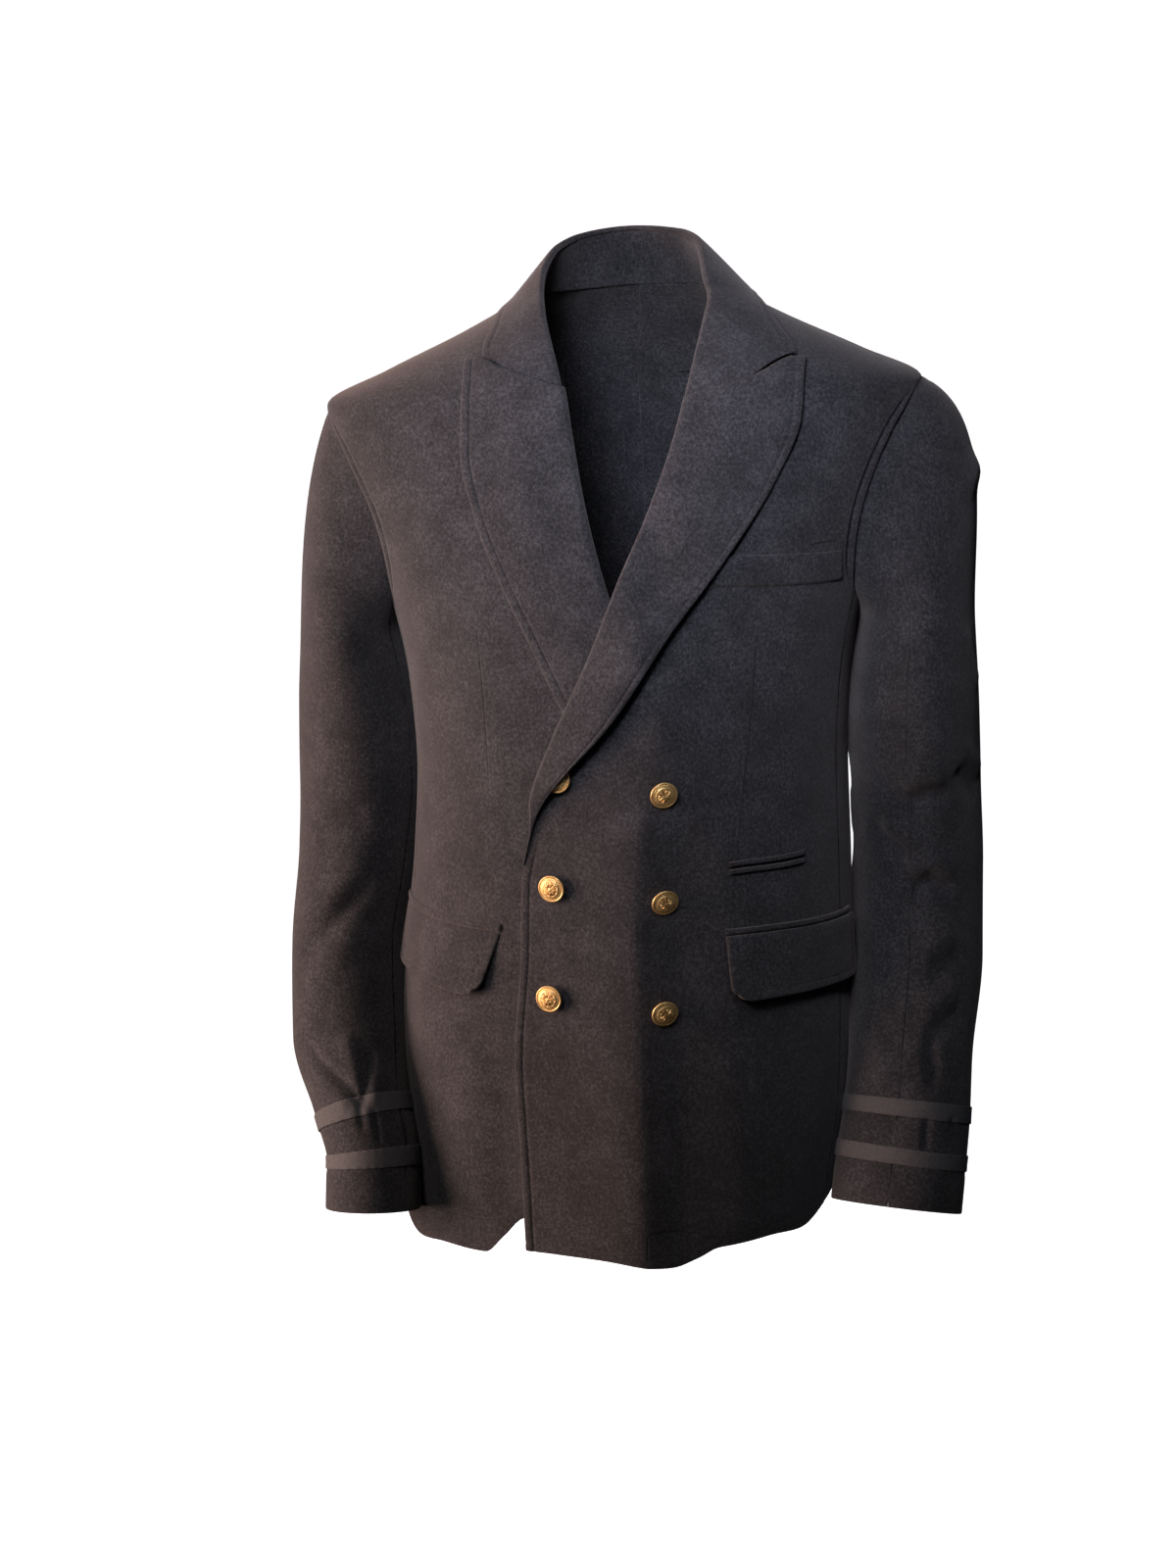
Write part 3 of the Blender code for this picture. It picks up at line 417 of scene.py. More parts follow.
def shell(points, thick=THICK, ring=False, rim=RIM * MM, outward=None):
    """Closed wall on a grid of its outer surface; its two faces curve together at the grid's edges."""
    normals = grid_normals(points, ring) if outward is None else outward
    down = run_length(points, 0)
    near = np.minimum(down, down[-1] - down)
    if not ring:
        over = run_length(points, 1)
        near = np.minimum(near, np.minimum(over, over[:, -1:] - over))
    inset = 1 - np.clip(near / rim, 0, 1)
    drop = (thick / 2 * (1 - np.sqrt(1 - inset**2)))[..., None]
    outer = points - normals * drop
    inner = points - normals * (thick - drop)
    rows, columns = points.shape[:2]
    return np.concatenate([outer.reshape(-1, 3), inner.reshape(-1, 3)]), shell_faces(rows, columns, ring)


def add_mesh(name, points, faces, material, marks=None):
    """Mesh object without unused points, its faces pointing out and shaded smooth."""
    used, index = np.unique(faces, return_inverse=True)
    mesh = bpy.data.meshes.new(name)
    mesh.from_pydata(points[used].tolist(), [], index.reshape(faces.shape).tolist())
    corners = points[faces]
    volume = np.einsum("ij,ij->", corners[:, 0], np.cross(corners[:, 1], corners[:, 2])
                       + np.cross(corners[:, 2], corners[:, 3]))
    if volume < 0:
        mesh.flip_normals()
    mesh.shade_smooth()
    mesh.materials.append(material)
    if marks is not None:
        mesh.attributes.new("sewn", "FLOAT_VECTOR", "POINT").data.foreach_set("vector", marks[used].ravel())
    piece = bpy.data.objects.new(name, mesh)
    bpy.context.scene.collection.objects.link(piece)
    return piece


def cloth_piece(name, points, material, nodes=None, ring=False, thick=THICK,
                outward=None, marks=None):
    """A sheet in place of its nodes, or of the one it is named for, with its cut measured on its own grid."""
    if marks is not None:
        marks = np.tile(marks.reshape(-1, 3), (2, 1))
    piece = add_mesh("cloth_" + name, *shell(points, thick, ring, outward=outward), material, marks)
    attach(piece, "root")
    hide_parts(*(nodes or [name]))


# ---- the body's surface ----


def body(angle, z):
    """Point of the body: a rounded ring, 0 at the front, a quarter turn at the wearer's left."""
    angle, z = np.broadcast_arrays(angle, z)
    middle, half, front, back, power = read(BODY, z)
    side, ahead = np.sin(angle), np.cos(angle)
    x = middle + half * np.sign(side) * np.abs(side) ** (2 / power)
    reach = np.where(ahead > 0, front, back)
    y = -reach * np.sign(ahead) * np.abs(ahead) ** (2 / power)
    down = SHOULDER_DROP * np.maximum(-x / SHOULDER_HALF, 0) ** DROP_POWER * ease(z, *DROP_BETWEEN)
    return np.stack([x, y, z - down], axis=-1)


def body_normal(angle, z):
    """Outward direction, from small steps round the ring and up it."""
    step = 1e-3
    round_it = body(angle + step, z) - body(angle - step, z)
    up_it = body(angle, z + step) - body(angle, z - step)
    return unit(np.cross(round_it, up_it))


def on_body(angle, z, out):
    """Point this far out from the body."""
    return body(angle, z) + body_normal(angle, z) * np.asarray(out)[..., None]


def angle_at(x, z):
    """Angle of the front's point at this x and level."""
    middle, half, _front, _back, power = read(BODY, np.asarray(z, float))
    share = np.clip((x - middle) / half, -0.999, 0.999)
    return np.sign(share) * np.arcsin(np.abs(share) ** (power / 2))


def inner_edge(side, z):
    """x of a front's inner edge: free below the break, the roll line above it."""
    row = 1 if side == "left" else -2
    neck = COLLAR["roll_x"][row]
    places = [*FREE_EDGES["z"], *LAPELS[side]["roll_z"], COLLAR["roll_z"][row], 0.0]
    values = [*FREE_EDGES[side], *LAPELS[side]["roll_x"], neck, neck + SIGN[side] * NECK_STEP[side]]
    return smooth(z, places, values)


def overlap_lift(x, z):
    """How far the left front stands off the body, over the right front and its lapel."""
    height = mix(LAP_LIFT, CROSS_LIFT, ease(z, CROSS_LOW, CROSS_HIGH))
    height = height * mix(1.0, CHEST_SHARE, ease(z, CHEST_LOW, CHEST_HIGH))
    start = inner_edge("right", z) + LIFT_ENDS
    return height * (1 - ease(x, start, start + LIFT_FADES))


def hem_drop(side, angle, z):
    """Moves the lowest rows to the hem's own line, and lets the move fade out above it."""
    degrees = np.degrees(angle if side == "left" else -angle)
    return (read(HEM_LINE, degrees, side) - HEM) * (1 - ease(z, HEM, HEM + HEM_FADES))


def armhole(turn):
    """Angle and level of the left armhole's edge, from the shoulder point forwards and round."""
    reach = np.where(np.sin(turn) > 0, ARMHOLE_FRONT, -ARMHOLE_BACK)
    middle, half = (ARMHOLE_TOP + ARMHOLE_BOTTOM) / 2, (ARMHOLE_TOP - ARMHOLE_BOTTOM) / 2
    angle = np.pi / 2 - reach * np.abs(np.sin(turn)) ** ARMHOLE_ROUNDNESS
    return angle, middle + half * np.cos(turn)


# ---- soft folds and sewn lines of the body ----

# A row of a fold table is in mm: the fold's width, its height, below 0 for a trough, and its path.

FRONT_FOLDS = {
    "left": (
        (10, 0.9, (104, -250), (96, -330), (88, -400), (82, -465)),
        (22, 1.6, (120, -560), (112, -640), (108, -750)),
        (16, 1.4, (20, -290), (60, -330), (120, -350)),
        (18, 1.2, (120, -120), (132, -160), (140, -200)),
    ),
    "right": (
        (9, 0.7, (-92, -240), (-88, -300), (-86, -380)),
        (16, 1.6, (-118, -130), (-140, -180), (-155, -240)),
        (20, 2.4, (-120, -560), (-125, -640), (-118, -740)),
        (15, -1.6, (-88, -560), (-94, -640), (-92, -740)),
        (14, 1.2, (-70, -420), (-110, -440), (-150, -452)),
    ),
}
FACING_END = (20.5, 47.6)  # x in mm where the front's facing ends at the hem
STITCHING_ENDS = (-0.425, -0.395)  # levels between which a free edge's stitching goes under the lapel
CORNER_TURNS = (9 * MM, 11 * MM)  # above the hem, where the front corner's stitching turns up
RIGHT_HEM_STARTS = (-0.09, -0.07)
# each line here is grooved and darkened in colour as painted shade by the wool's shader
SEWN_LINES = {  # how much it shows, and its path in mm
    "left": (
        (1, (110.6, -258.8), (103.8, -333.5), (94.9, -400.8)),  # dart
        (0.45, (94.5, -404), (89.4, -469.5)),
        (1, (147.9, -186.6), (171.4, -185.5)),  # tuck at the welt's end
        # the ticket pocket's slit: painted shade in the opening between its jets
        (1, *((x / MM, (TICKET_Z + TICKET_SLIT / 2) / MM) for x in TICKET_X)),
        (0.9, (FACING_END[0], -744), (FACING_END[0], -720.5), (FACING_END[1], -721.3)),
        (0.35, (62, -729), (82.6, -731.2), (123.7, -728.7), (160, -723)),
    ),
    "right": (
        (0.55, (-99.4, -243.2), (-96, -300), (-94.5, -365.3)),  # dart
        (0.7, (-162.7, -728.1), (-130, -724), (-102.7, -722.1)),
    ),
}
BELLY = table(  # in mm, from the wearer's right to left
    "x height",
    (-120, 0), (-62, 1.0), (-36, 3.6), (8, 11.0), (17, 11.6), (32, 7.4), (54, 1.5), (76, 0.1), (105, 0),
)
BELLY_LEVELS = (-0.450, -0.200)
BELLY_LEANS = 0.12  # sideways run of the fold for each metre up, over BELLY_LEVELS
HEM_STITCH = 23 * MM  # above the edge
HEM_GROOVE = 0.35 * MM
HEM_FULLNESS = 0.5 * MM


def hem_line(side, x, z):
    """Height above the hem's own line."""
    return z - read(HEM_LINE, np.degrees(angle_at(x, z)) * SIGN[side], side)


def belly(x, z):
    """The closed fronts stand out over the stomach and turn back along a soft upright fold."""
    x = x - BELLY_LEANS * np.maximum(z - BELLY_LEVELS[0], 0)
    return read(BELLY, x / MM) * MM * (1 - ease(z, *BELLY_LEVELS))


def front_relief(side, x, z):
    """Stitched edge, hem and soft folds of a front, as height at x and z."""
    inwards = np.abs(x - inner_edge(side, z))
    relief = stitched(inwards) * (1 - ease(z, *STITCHING_ENDS)) + folded(x, z, FRONT_FOLDS[side])
    above = hem_line(side, x, z)
    if side == "left":
        past = ease(x / MM, *FACING_END)
        relief += stitched(above) * (1 - past) * (1 - ease(above, *CORNER_TURNS))
    else:
        past = ease(-x, *RIGHT_HEM_STARTS)
    relief -= HEM_GROOVE * bump(above, HEM_STITCH, 1.0 * MM) * past
    return relief + HEM_FULLNESS * (1 - ease(above, HEM_STITCH - 5 * MM, HEM_STITCH)) * past


def front_lift(side, x, z):
    """Height of a front's outer face over the body."""
    lift = overlap_lift(x, z) if side == "left" else 0.0
    return lift + belly(x, z) + front_relief(side, x, z)


def front_face(side, x, z, out=0.0):
    """Point above a front's outer face."""
    return on_body(angle_at(x, z), z, front_lift(side, x, z) + out)


# ---- panels ----

ARMHOLE_SHOWS = (-0.232, -0.205, -0.092, -0.078)  # levels: none, full, full and none again
WAIST = -0.36


def outer_path(front):
    """Level and angle of a front's or back's outer edge: side seam, armhole, shoulder seam."""
    turn = np.linspace(SEAM_TURN, 0, 240)
    angle, level = armhole(turn if front else 2 * np.pi - turn)
    low = np.linspace(HEM, level[0], 240, endpoint=False)
    top = np.linspace(level[-1], 0, 120)[1:]
    levels = np.concatenate([low, level, top])
    return levels, np.concatenate([np.full(240, angle[0]), angle, np.full(119, np.pi / 2)])


def panel_rows(front, first, last):
    """Levels and outer angles of a panel's rows, even along its outer edge."""
    levels, angles = outer_path(front)
    edge = body(angles, levels)[None]
    return [evenly(values, edge, CELL, first, last)[0] for values in (levels, angles)]


def panel_columns(start, end, levels, first, last):
    """Angles across each row from start to end, on lines at set distances from both sides."""
    angles = mix(start[:, None], end[:, None], np.linspace(0, 1, 90))
    return evenly(angles, body(angles, levels[:, None]), CELL, first, last)


def armhole_share(z):
    """How much the armhole's seam allowance shows at each level."""
    return ease(z, *ARMHOLE_SHOWS[:2]) * (1 - ease(z, *ARMHOLE_SHOWS[2:]))


def armhole_ridge(z, d, side):
    """The seam allowance felt beside the armhole, up to its stitching."""
    return stitched(d * ALLOWANCE_SHOWS[side][0]) * armhole_share(z) * ALLOWANCE_SHOWS[side][1]


def front_panel(side, material):
    """The body's surface from a front's inner edge to its outer one, raised by its folds and edges."""
    levels, outer = panel_rows(True, STITCHED_LINES, SEAM_LINES)
    inner = angle_at(inner_edge(side, levels), levels)
    angles = panel_columns(inner, SIGN[side] * outer, levels, STITCHED_LINES, STITCHED_LINES)
    z = levels[:, None] + hem_drop(side, angles, levels[:, None])
    flat = body(angles, z)
    over = run_length(flat, 1)
    to_armhole = over[:, -1:] - over
    out = front_lift(side, flat[..., 0], z) + armhole_ridge(z, to_armhole, side)
    # marks for the armhole's stitching line, which the wool shader grooves and darkens as painted shade
    shown = armhole_share(z)
    away = np.where(shown > 0, to_armhole - STITCHED_IN / ALLOWANCE_SHOWS[side][0], np.inf)
    marks = nearer_line(sewn_marks(flat[..., 0], z, SEWN_LINES[side]), away, shown)
    cloth_piece("front_" + side, on_body(angles, z, out), material, marks=marks)


BACK_FOLDS = (
    (26, -2, (0, -420), (0, -560), (0, -735)),
    (22, 2, (60, -400), (68, -520), (60, -735)),
    (24, 1.8, (-62, -410), (-66, -520), (-70, -735)),
    (14, 1, (20, -60), (90, -75), (150, -100)),
    (12, 1.3, (-100, -330), (-50, -350), (10, -345)),
    (10, 1.1, (110, -345), (70, -362), (30, -366)),
)


def back_panel(side, material):
    """The body's surface from the side seam to the middle of the back, raised by its folds."""
    levels, outer = panel_rows(False, STITCHED_LINES, SEAM_LINES)
    angles = panel_columns(SIGN[side] * outer, np.full(len(levels), SIGN[side] * np.pi), levels,
                           STITCHED_LINES, SEAM_LINES)
    z = levels[:, None] + hem_drop(side, angles, levels[:, None])
    flat = body(angles, z)
    over = run_length(flat, 1)
    out = folded(flat[..., 0], z, BACK_FOLDS) + armhole_ridge(z, over, side)
    cloth_piece("back_" + side, on_body(angles, z, out), material)


def side_body(side, material):
    """The strip under the arm, whose top is the lowest stretch of the armhole."""
    turns = np.linspace(SEAM_TURN, 2 * np.pi - SEAM_TURN, 160)
    edge = armhole(turns)
    waist = body(edge[0], np.full(160, WAIST))[None]
    angle, top = (evenly(values, waist, CELL, SEAM_LINES, SEAM_LINES)[0] for values in edge)
    height = edge[1][0] - HEM
    share = spread(height, CELL, STITCHED_LINES, SEAM_LINES)[0][:, None] / height
    z = HEM + share * (top - HEM)
    angles = SIGN[side] * (angle + 0 * z)
    z = z + hem_drop(side, angles, z)
    nodes = [f"side_body_{stretch}_{side}" for stretch in STRETCHES["side_body"]]
    cloth_piece("side_body_" + side, on_body(angles, z, 0 * z), material,
                nodes)


# ---- lapels and collar ----

LAPEL_FOLDS = {  # by x and z on the front
    "left": (
        (20, 1.2, (30, -110), (60, -150), (75, -190)),
        (14, -0.8, (90, -75), (110, -100), (112, -130)),
        (14, 1.4, (-20, -330), (10, -280), (40, -220)),
    ),
    "right": (
        (18, 1.2, (-60, -90), (-62, -150), (-48, -215)),
        (12, -0.7, (-90, -70), (-88, -110), (-80, -150)),
    ),
}
LAPEL_STANDS_OFF = {"left": 1.4 * MM, "right": 0.5 * MM}
STANDS_BETWEEN = {"left": (-0.395, -0.350, -0.215, -0.165), "right": (-0.36, -0.33, -0.12, -0.08)}
TURN_STEPS = 9
ROLL_PLAIN = 6 * MM  # beside a roll line
EDGE_SHOWS = (0.35, 0.8)  # how strong a lapel's stitching is where it is narrow and where it is wide
TIP = (52 * MM, 40 * MM)  # in from the tip, where the top edge's stitching starts and is full
TIP_SLANT = 1.05
SWELL_FULL = 50 * MM  # lapel width
GORGE_LINES = (0.15, 0.25, 0.6, RIM, 2.4)


def turned_profile(radius, edge_out, width, swell, lines):
    """Distance from the roll and height of a turned piece's outer face, on each row.

    It starts at the inner face of the panel that it continues, goes round half a circle, and runs out to
    its free edge with a slight belly. lines holds each row's distances out from the roll.
    """
    radius, edge_out, width = (np.asarray(v)[:, None] for v in (radius, edge_out, width))
    turn = np.linspace(0, np.pi, TURN_STEPS)[:-1]
    half = THICK / 2
    around = -GAP / 2 - (radius + half) * np.sin(turn)
    height = radius - half - (radius + half) * np.cos(turn)
    share = lines / width
    rise = 2 * radius + edge_out * share + 4 * swell * share * (1 - share)
    return np.hstack([around, lines]), np.hstack([height, rise])


def gorge(side, x):
    """Level of the gorge seam and of the lapel's top edge at x."""
    return read(GORGE[side], x)


def lapel(side, material):
    """A front turned out along its roll line, from the break up to the gorge seam."""
    cut = LAPELS[side]
    fine = np.linspace(*cut["roll_z"][[0, -1]], 400)
    roll = body(angle_at(inner_edge(side, fine), fine), fine)[None]
    levels = evenly(fine, roll, FINE_CELL, FOLD_LINES, GORGE_LINES)[0]
    edge_x, edge_z, radius, lift = read(cut, levels, "edge_x", "edge_z", "radius", "edge_lift", by="roll_z")
    roll_x = inner_edge(side, levels)
    width = np.hypot(edge_x - roll_x, edge_z - levels)
    lines = spread(width, FINE_CELL, FOLD_LINES, STITCHED_LINES)
    swell = LAPEL_SWELL * ease(width, 0, SWELL_FULL)[:, None]
    across, height = turned_profile(radius, lift, width, swell, lines)
    share = across / width[:, None]
    x = mix(roll_x[:, None], edge_x[:, None], share)
    z = mix(levels[:, None], edge_z[:, None], share)
    z = z + (gorge(side, x) - z[-1]) * ease(levels, levels[-1] - GORGE_FADES, levels[-1])[:, None]
    out = lapel_relief(side, x, z, across, width[:, None], levels[:, None])
    lift = overlap_lift(x, z) if side == "left" else 0.0
    points = on_body(angle_at(x, z), z, height + lift + belly(x, z) + out)
    cloth_piece("lapel_" + side, points, material)


def lapel_relief(side, x, z, across, width, levels):
    """Stitched edges, soft folds and the stand-off of a lapel's free edge."""
    flat = ease(across, 0, ROLL_PLAIN)
    relief = stitched(width - across) * flat * mix(*EDGE_SHOWS, ease(width, 10 * MM, 26 * MM))
    top = (levels.max() - levels) * TIP_SLANT
    relief = relief + stitched(top) * flat * ease(across, width - TIP[0], width - TIP[1]) * EDGE_SHOWS[1]
    relief = relief + folded(x, z, LAPEL_FOLDS[side]) * flat
    low, full, fades, none = STANDS_BETWEEN[side]
    window = ease(levels, low, full) * (1 - ease(levels, fades, none))
    return relief + LAPEL_STANDS_OFF[side] * window * ease(across / width, 0.2, 1.0)


def below_neck(z):
    """The level itself well below the neck, and softly held under it near the top."""
    return -NECK_SOFT * np.logaddexp(0, -z / NECK_SOFT)


def collar_frame():
    """Roll line, free edge, directions across and up at each row, and how far each row lies on a front."""
    end = len(COLLAR["roll_x"]) - 1
    by_row = {"row": np.arange(end + 1), **COLLAR}
    fine = np.linspace(0, end, 900)
    path = np.stack(read(by_row, fine, "roll_x", "roll_y", "roll_z"), axis=-1)[None]
    at = evenly(fine, path, FINE_CELL, GORGE_LINES, GORGE_LINES)[0]
    *roll, edge_angle, edge_z = read(by_row, at)
    roll, edge_angle = np.stack(roll, axis=-1), np.radians(edge_angle)
    from_end = np.minimum(at, end - at)
    on_front = 1 - ease(from_end, *COLLAR_LIES)
    for side, here in (("left", at <= 1), ("right", at >= end - 1)):
        roll[here, 0] = inner_edge(side, roll[here, 2])
    level = below_neck(roll[:, 2])
    seat_angle = np.where(at < (end + 1) / 2, 0, 2 * np.pi) + angle_at(roll[:, 0], level)
    roll = mix(roll, body(seat_angle, level), on_front[:, None])
    edge = on_body(edge_angle, edge_z, np.full_like(edge_z, COLLAR_CLEAR))
    across = unit(edge - roll)
    height = unit(np.cross(across, unit(np.gradient(roll, axis=0))))
    return {"roll": roll, "edge": edge, "edge_z": edge_z, "across": across, "height": height,
            "on_front": on_front, "end": 1 - ease(from_end, *NOTCH_ROWS)}


def collar_fall(material):
    """The turned-down leaf: straight from roll to free edge behind, laid on the fronts at both ends."""
    frame_of = collar_frame()
    roll, edge, edge_z, on_front, end = (frame_of[k] for k in ("roll", "edge", "edge_z", "on_front", "end"))
    across, height = frame_of["across"][:, None], frame_of["height"][:, None]
    width = np.linalg.norm(edge - roll, axis=-1)
    lines = spread(width, FINE_CELL, FOLD_LINES, STITCHED_LINES)
    drop = (2 * COLLAR_RADIUS - THICK / 2) * (on_front - 1)
    distance, rise = turned_profile(np.full(len(roll), COLLAR_RADIUS), drop, width, COLLAR_BELLY, lines)
    rise = rise + 0.5 * stitched(width[:, None] - distance) * ease(distance, 0, ROLL_PLAIN)
    share = distance / width[:, None]
    standing = roll[:, None] + across * distance[..., None] + height * rise[..., None]
    z = mix(below_neck(roll[:, 2])[:, None], edge_z[:, None], share)
    x = mix(roll[:, :1], edge[:, :1], share)
    for side, last in (("left", 0), ("right", -1)):
        opening = NOTCH_OPENING * ease(share[last], NOTCH_ROOT[side], NOTCH_ROOT[side] + 0.15)
        seam = gorge(side, x[last]) + opening
        here = end * (x[:, 0] * SIGN[side] > 0)
        z = z + here[:, None] * (np.interp(share, share[last], seam - z[last].copy()))
    points = mix(standing, on_body(angle_at(x, z), z, rise), on_front[:, None, None])
    cloth_piece("collar_fall", points, material)


def collar_stand(material):
    """The wall from the neck seam up to the roll, where the roll stands above the neck."""
    frame_of = collar_frame()
    standing = frame_of["roll"][:, 2] > STAND_LEAST
    roll, height = frame_of["roll"][standing], frame_of["height"][standing]
    middle, half, front, back, _power = read(BODY, 0.0)
    depth = np.where(roll[:, 1] < 0, front, back)
    angle = np.arctan2((roll[:, 0] - middle) / half, -roll[:, 1] / depth)
    foot = body(angle, 0 * angle)
    foot_normal = unit(body_normal(angle, 0 * angle) * [1, 1, 0])
    foot[:, 2] += GAP
    share = spread(0.04, FINE_CELL, SEAM_LINES, SEAM_LINES)[0][:, None, None] / 0.04
    outer = mix(foot, roll - unit(roll - foot) * 2 * GAP, share)
    normal = unit(mix(foot_normal, height, share))
    cloth_piece("collar_stand", outer, material, outward=normal)


# ---- sleeves ----

# Paths run by mm round the sleeve from its outermost line, forwards, and mm down from the shoulder point.
SLEEVE_FOLDS = {
    "right": (
        (14, -1.8, (55, 365), (84, 347), (110, 340)),
        (12, 2.6, (40, 438), (74, 410), (98, 384), (118, 368)),
        (9, -3.2, (46, 460), (80, 433), (103, 408), (122, 394)),
        (12, 1.8, (52, 484), (88, 457), (112, 432)),
        (4.5, -3.6, (45, 520), (67, 534), (92, 550), (98, 564)),
        (5.5, 1.5, (45, 536), (64, 548), (86, 563)),
        (4.2, -3.4, (118, 520), (107, 543), (98, 564)),
        (5, 1.5, (126, 526), (118, 546), (112, 564)),
        (8, 2.6, (94, 508), (95, 530), (97, 546)),
        (3.5, -2, (97, 554), (94, 580)),
        (3, -1.8, (112, 562), (110, 590)),
        (3, -1.6, (145, 574), (148, 600)),
        (12, 2.2, (-85, 330), (-50, 370), (-20, 380)),
        (10, -2.2, (-90, 400), (-60, 410), (-30, 420)),
    ),
    "left": (
        (11, 4, (-22, 75), (10, 70), (38, 84)),
        (8, -2.4, (64, 38), (42, 45), (22, 61)),
        (7, 2.5, (40, 185), (13, 240)),
        (9, 2.6, (46, 274), (12, 310)),
        (9, -3.2, (52, 296), (24, 328)),
        (10, 2.8, (102, 308), (82, 298), (58, 300)),
        (9, -3.6, (106, 334), (87, 320), (73, 316), (52, 322)),
        (9, 3.4, (120, 335), (98, 346), (84, 360)),
        (8, -4.7, (134, 343), (114, 357), (97, 373)),
        (9, 4, (100, 379), (78, 369), (50, 378)),
        (7, -5.3, (99, 396), (78, 386), (53, 400)),
        (10, 3.7, (90, 442), (50, 426)),
        (9, -5, (80, 460), (44, 444)),
        (9, 3.4, (84, 486), (48, 470)),
        (8, -5, (76, 506), (38, 487)),
        (6, -4.3, (75, 504), (67, 527), (66, 545)),
        (12, 3.4, (120, 505), (108, 545)),
        (3.5, -2, (70, 562), (68, 592)),
        (3.5, -2, (44, 564), (42, 594)),
        (3, -1, (99, 564), (97, 590)),
        (12, 2.2, (-85, 330), (-50, 365), (-20, 372)),
        (10, -2, (-90, 395), (-60, 404), (-30, 412)),
        (28, 8, (-150, 100), (-152, 190), (-150, 322)),
        (28, 8, (202, 100), (200, 190), (202, 322)),  # the same, round the turn
        (26, 2.6, (-150, 326), (-152, 343), (-150, 360)),
        (26, 2.6, (202, 326), (200, 343), (202, 360)),
        (24, 5, (-150, 362), (-152, 440), (-150, 550)),
        (24, 5, (202, 362), (200, 440), (202, 550)),
    ),
}
TURN_LENGTH = 0.056  # metres round a sleeve for each radian, about
FOLDS_START = (10 * MM, 50 * MM)  # below the shoulder point
CUFF_THICKER = 0.5 * MM
CUFF_ENDS = (26 * MM, 31 * MM)  # above the edge
HEAD_ROWS = 46
TAPE_STANDS = 1.15 * MM
TAPE_PUCKER = 0.25 * MM
TAPE_LINES = (0.0, 0.12, 0.45, 1.2)


def arm_ring(side, level, turn):
    """Ring round the arm at the level of its middle, square to the arm's own run."""
    highest, lowest = ARMS[side]["z"][[0, -1]]

    def centre(at):
        x, y = read(ARMS[side], at, "x", "y")
        return np.stack([SIGN[side] * x, y, at + 0 * x], axis=-1)

    level = np.asarray(level, float)
    half_width, half_depth = read(ARMS[side], level, "half_width", "half_depth")
    run = unit(centre(np.maximum(level - RUN_STEP, lowest)) - centre(np.minimum(level + RUN_STEP, highest)))
    outward = unit(np.array([SIGN[side], 0.0, 0.0]) - run * (SIGN[side] * run[..., :1]))
    forward = np.cross(run, outward) * SIGN[side]
    return (centre(level) + outward * (half_width * np.cos(turn))[..., None]
            + forward * (half_depth * np.sin(turn))[..., None])


def cap_ends(side, turn):
    """Points of the armhole and of the arm's first ring, between which the sleeve head spans."""
    angle, level = armhole(np.mod(turn, 2 * np.pi))
    first = arm_ring(side, np.full(turn.shape, ARMS[side]["z"][0]), turn)
    return body(SIGN[side] * angle, level), first


def cap_point(side, t, turn):
    """Point of the sleeve head: t goes from 0 at the armhole to 1 at the first ring of the arm."""
    edge, first = cap_ends(side, turn)
    top = ARMS[side]["z"][0]
    below = arm_ring(side, np.full(turn.shape, top - RUN_STEP), turn)
    up = np.cos(turn)[..., None]
    run = mix(np.array(CAP_SIDE), np.array(CAP_TOP[side]), np.maximum(up, 0))
    run = run + (np.array(CAP_BOTTOM) - CAP_SIDE) * np.maximum(-up, 0)
    leave = unit(np.stack([SIGN[side] * run[..., 0], 0 * run[..., 0], -run[..., 1]], axis=-1))
    reach = np.linalg.norm(first - edge, axis=-1, keepdims=True)
    t = t[..., None]
    return (edge * (1 + 2 * t) * (1 - t) ** 2 + first * t * t * (3 - 2 * t)
            + leave * reach * t * (1 - t) ** 2 - unit(below - first) * reach * t * t * (1 - t))


def cap_reach(side, turn):
    """Straight distance across the sleeve head."""
    edge, first = cap_ends(side, turn)
    return np.linalg.norm(first - edge, axis=-1)


def arm_levels(side, first, last):
    """Levels of the arm's rows from its first ring down to the cuff, even along the arm's middle."""
    fine = np.linspace(*ARMS[side]["z"][[0, -1]], 400)
    middle = np.stack([*read(ARMS[side], fine, "x", "y"), fine], axis=-1)[None]
    return evenly(fine, middle, CELL, first, last)[0]


def sleeve_surface(side, cap_shares, levels, turns):
    """Whole surface of a sleeve at each row's own turns, before its folds.

    The first rows lie at shares of the head, the rest at levels of the arm.
    """
    rows = len(cap_shares)
    cap = cap_point(side, cap_shares, turns[:rows])
    arm = arm_ring(side, levels[:, None] + 0 * turns[rows:], turns[rows:])
    return np.concatenate([cap, arm])


def sleeve_relief(side, turns, points):
    """Height of the soft folds; the fold table is read round and down the sleeve."""
    round_it = (np.mod(turns + np.pi, 2 * np.pi) - np.pi) * TURN_LENGTH
    down = ARMHOLE_TOP - points[..., 2]
    return folded(round_it, down, SLEEVE_FOLDS[side]) * ease(down, *FOLDS_START)


def cuff_band(down_to_edge):
    """The turned-up cuff is a little thicker than the sleeve above it."""
    return CUFF_THICKER * (1 - ease(down_to_edge, *CUFF_ENDS))


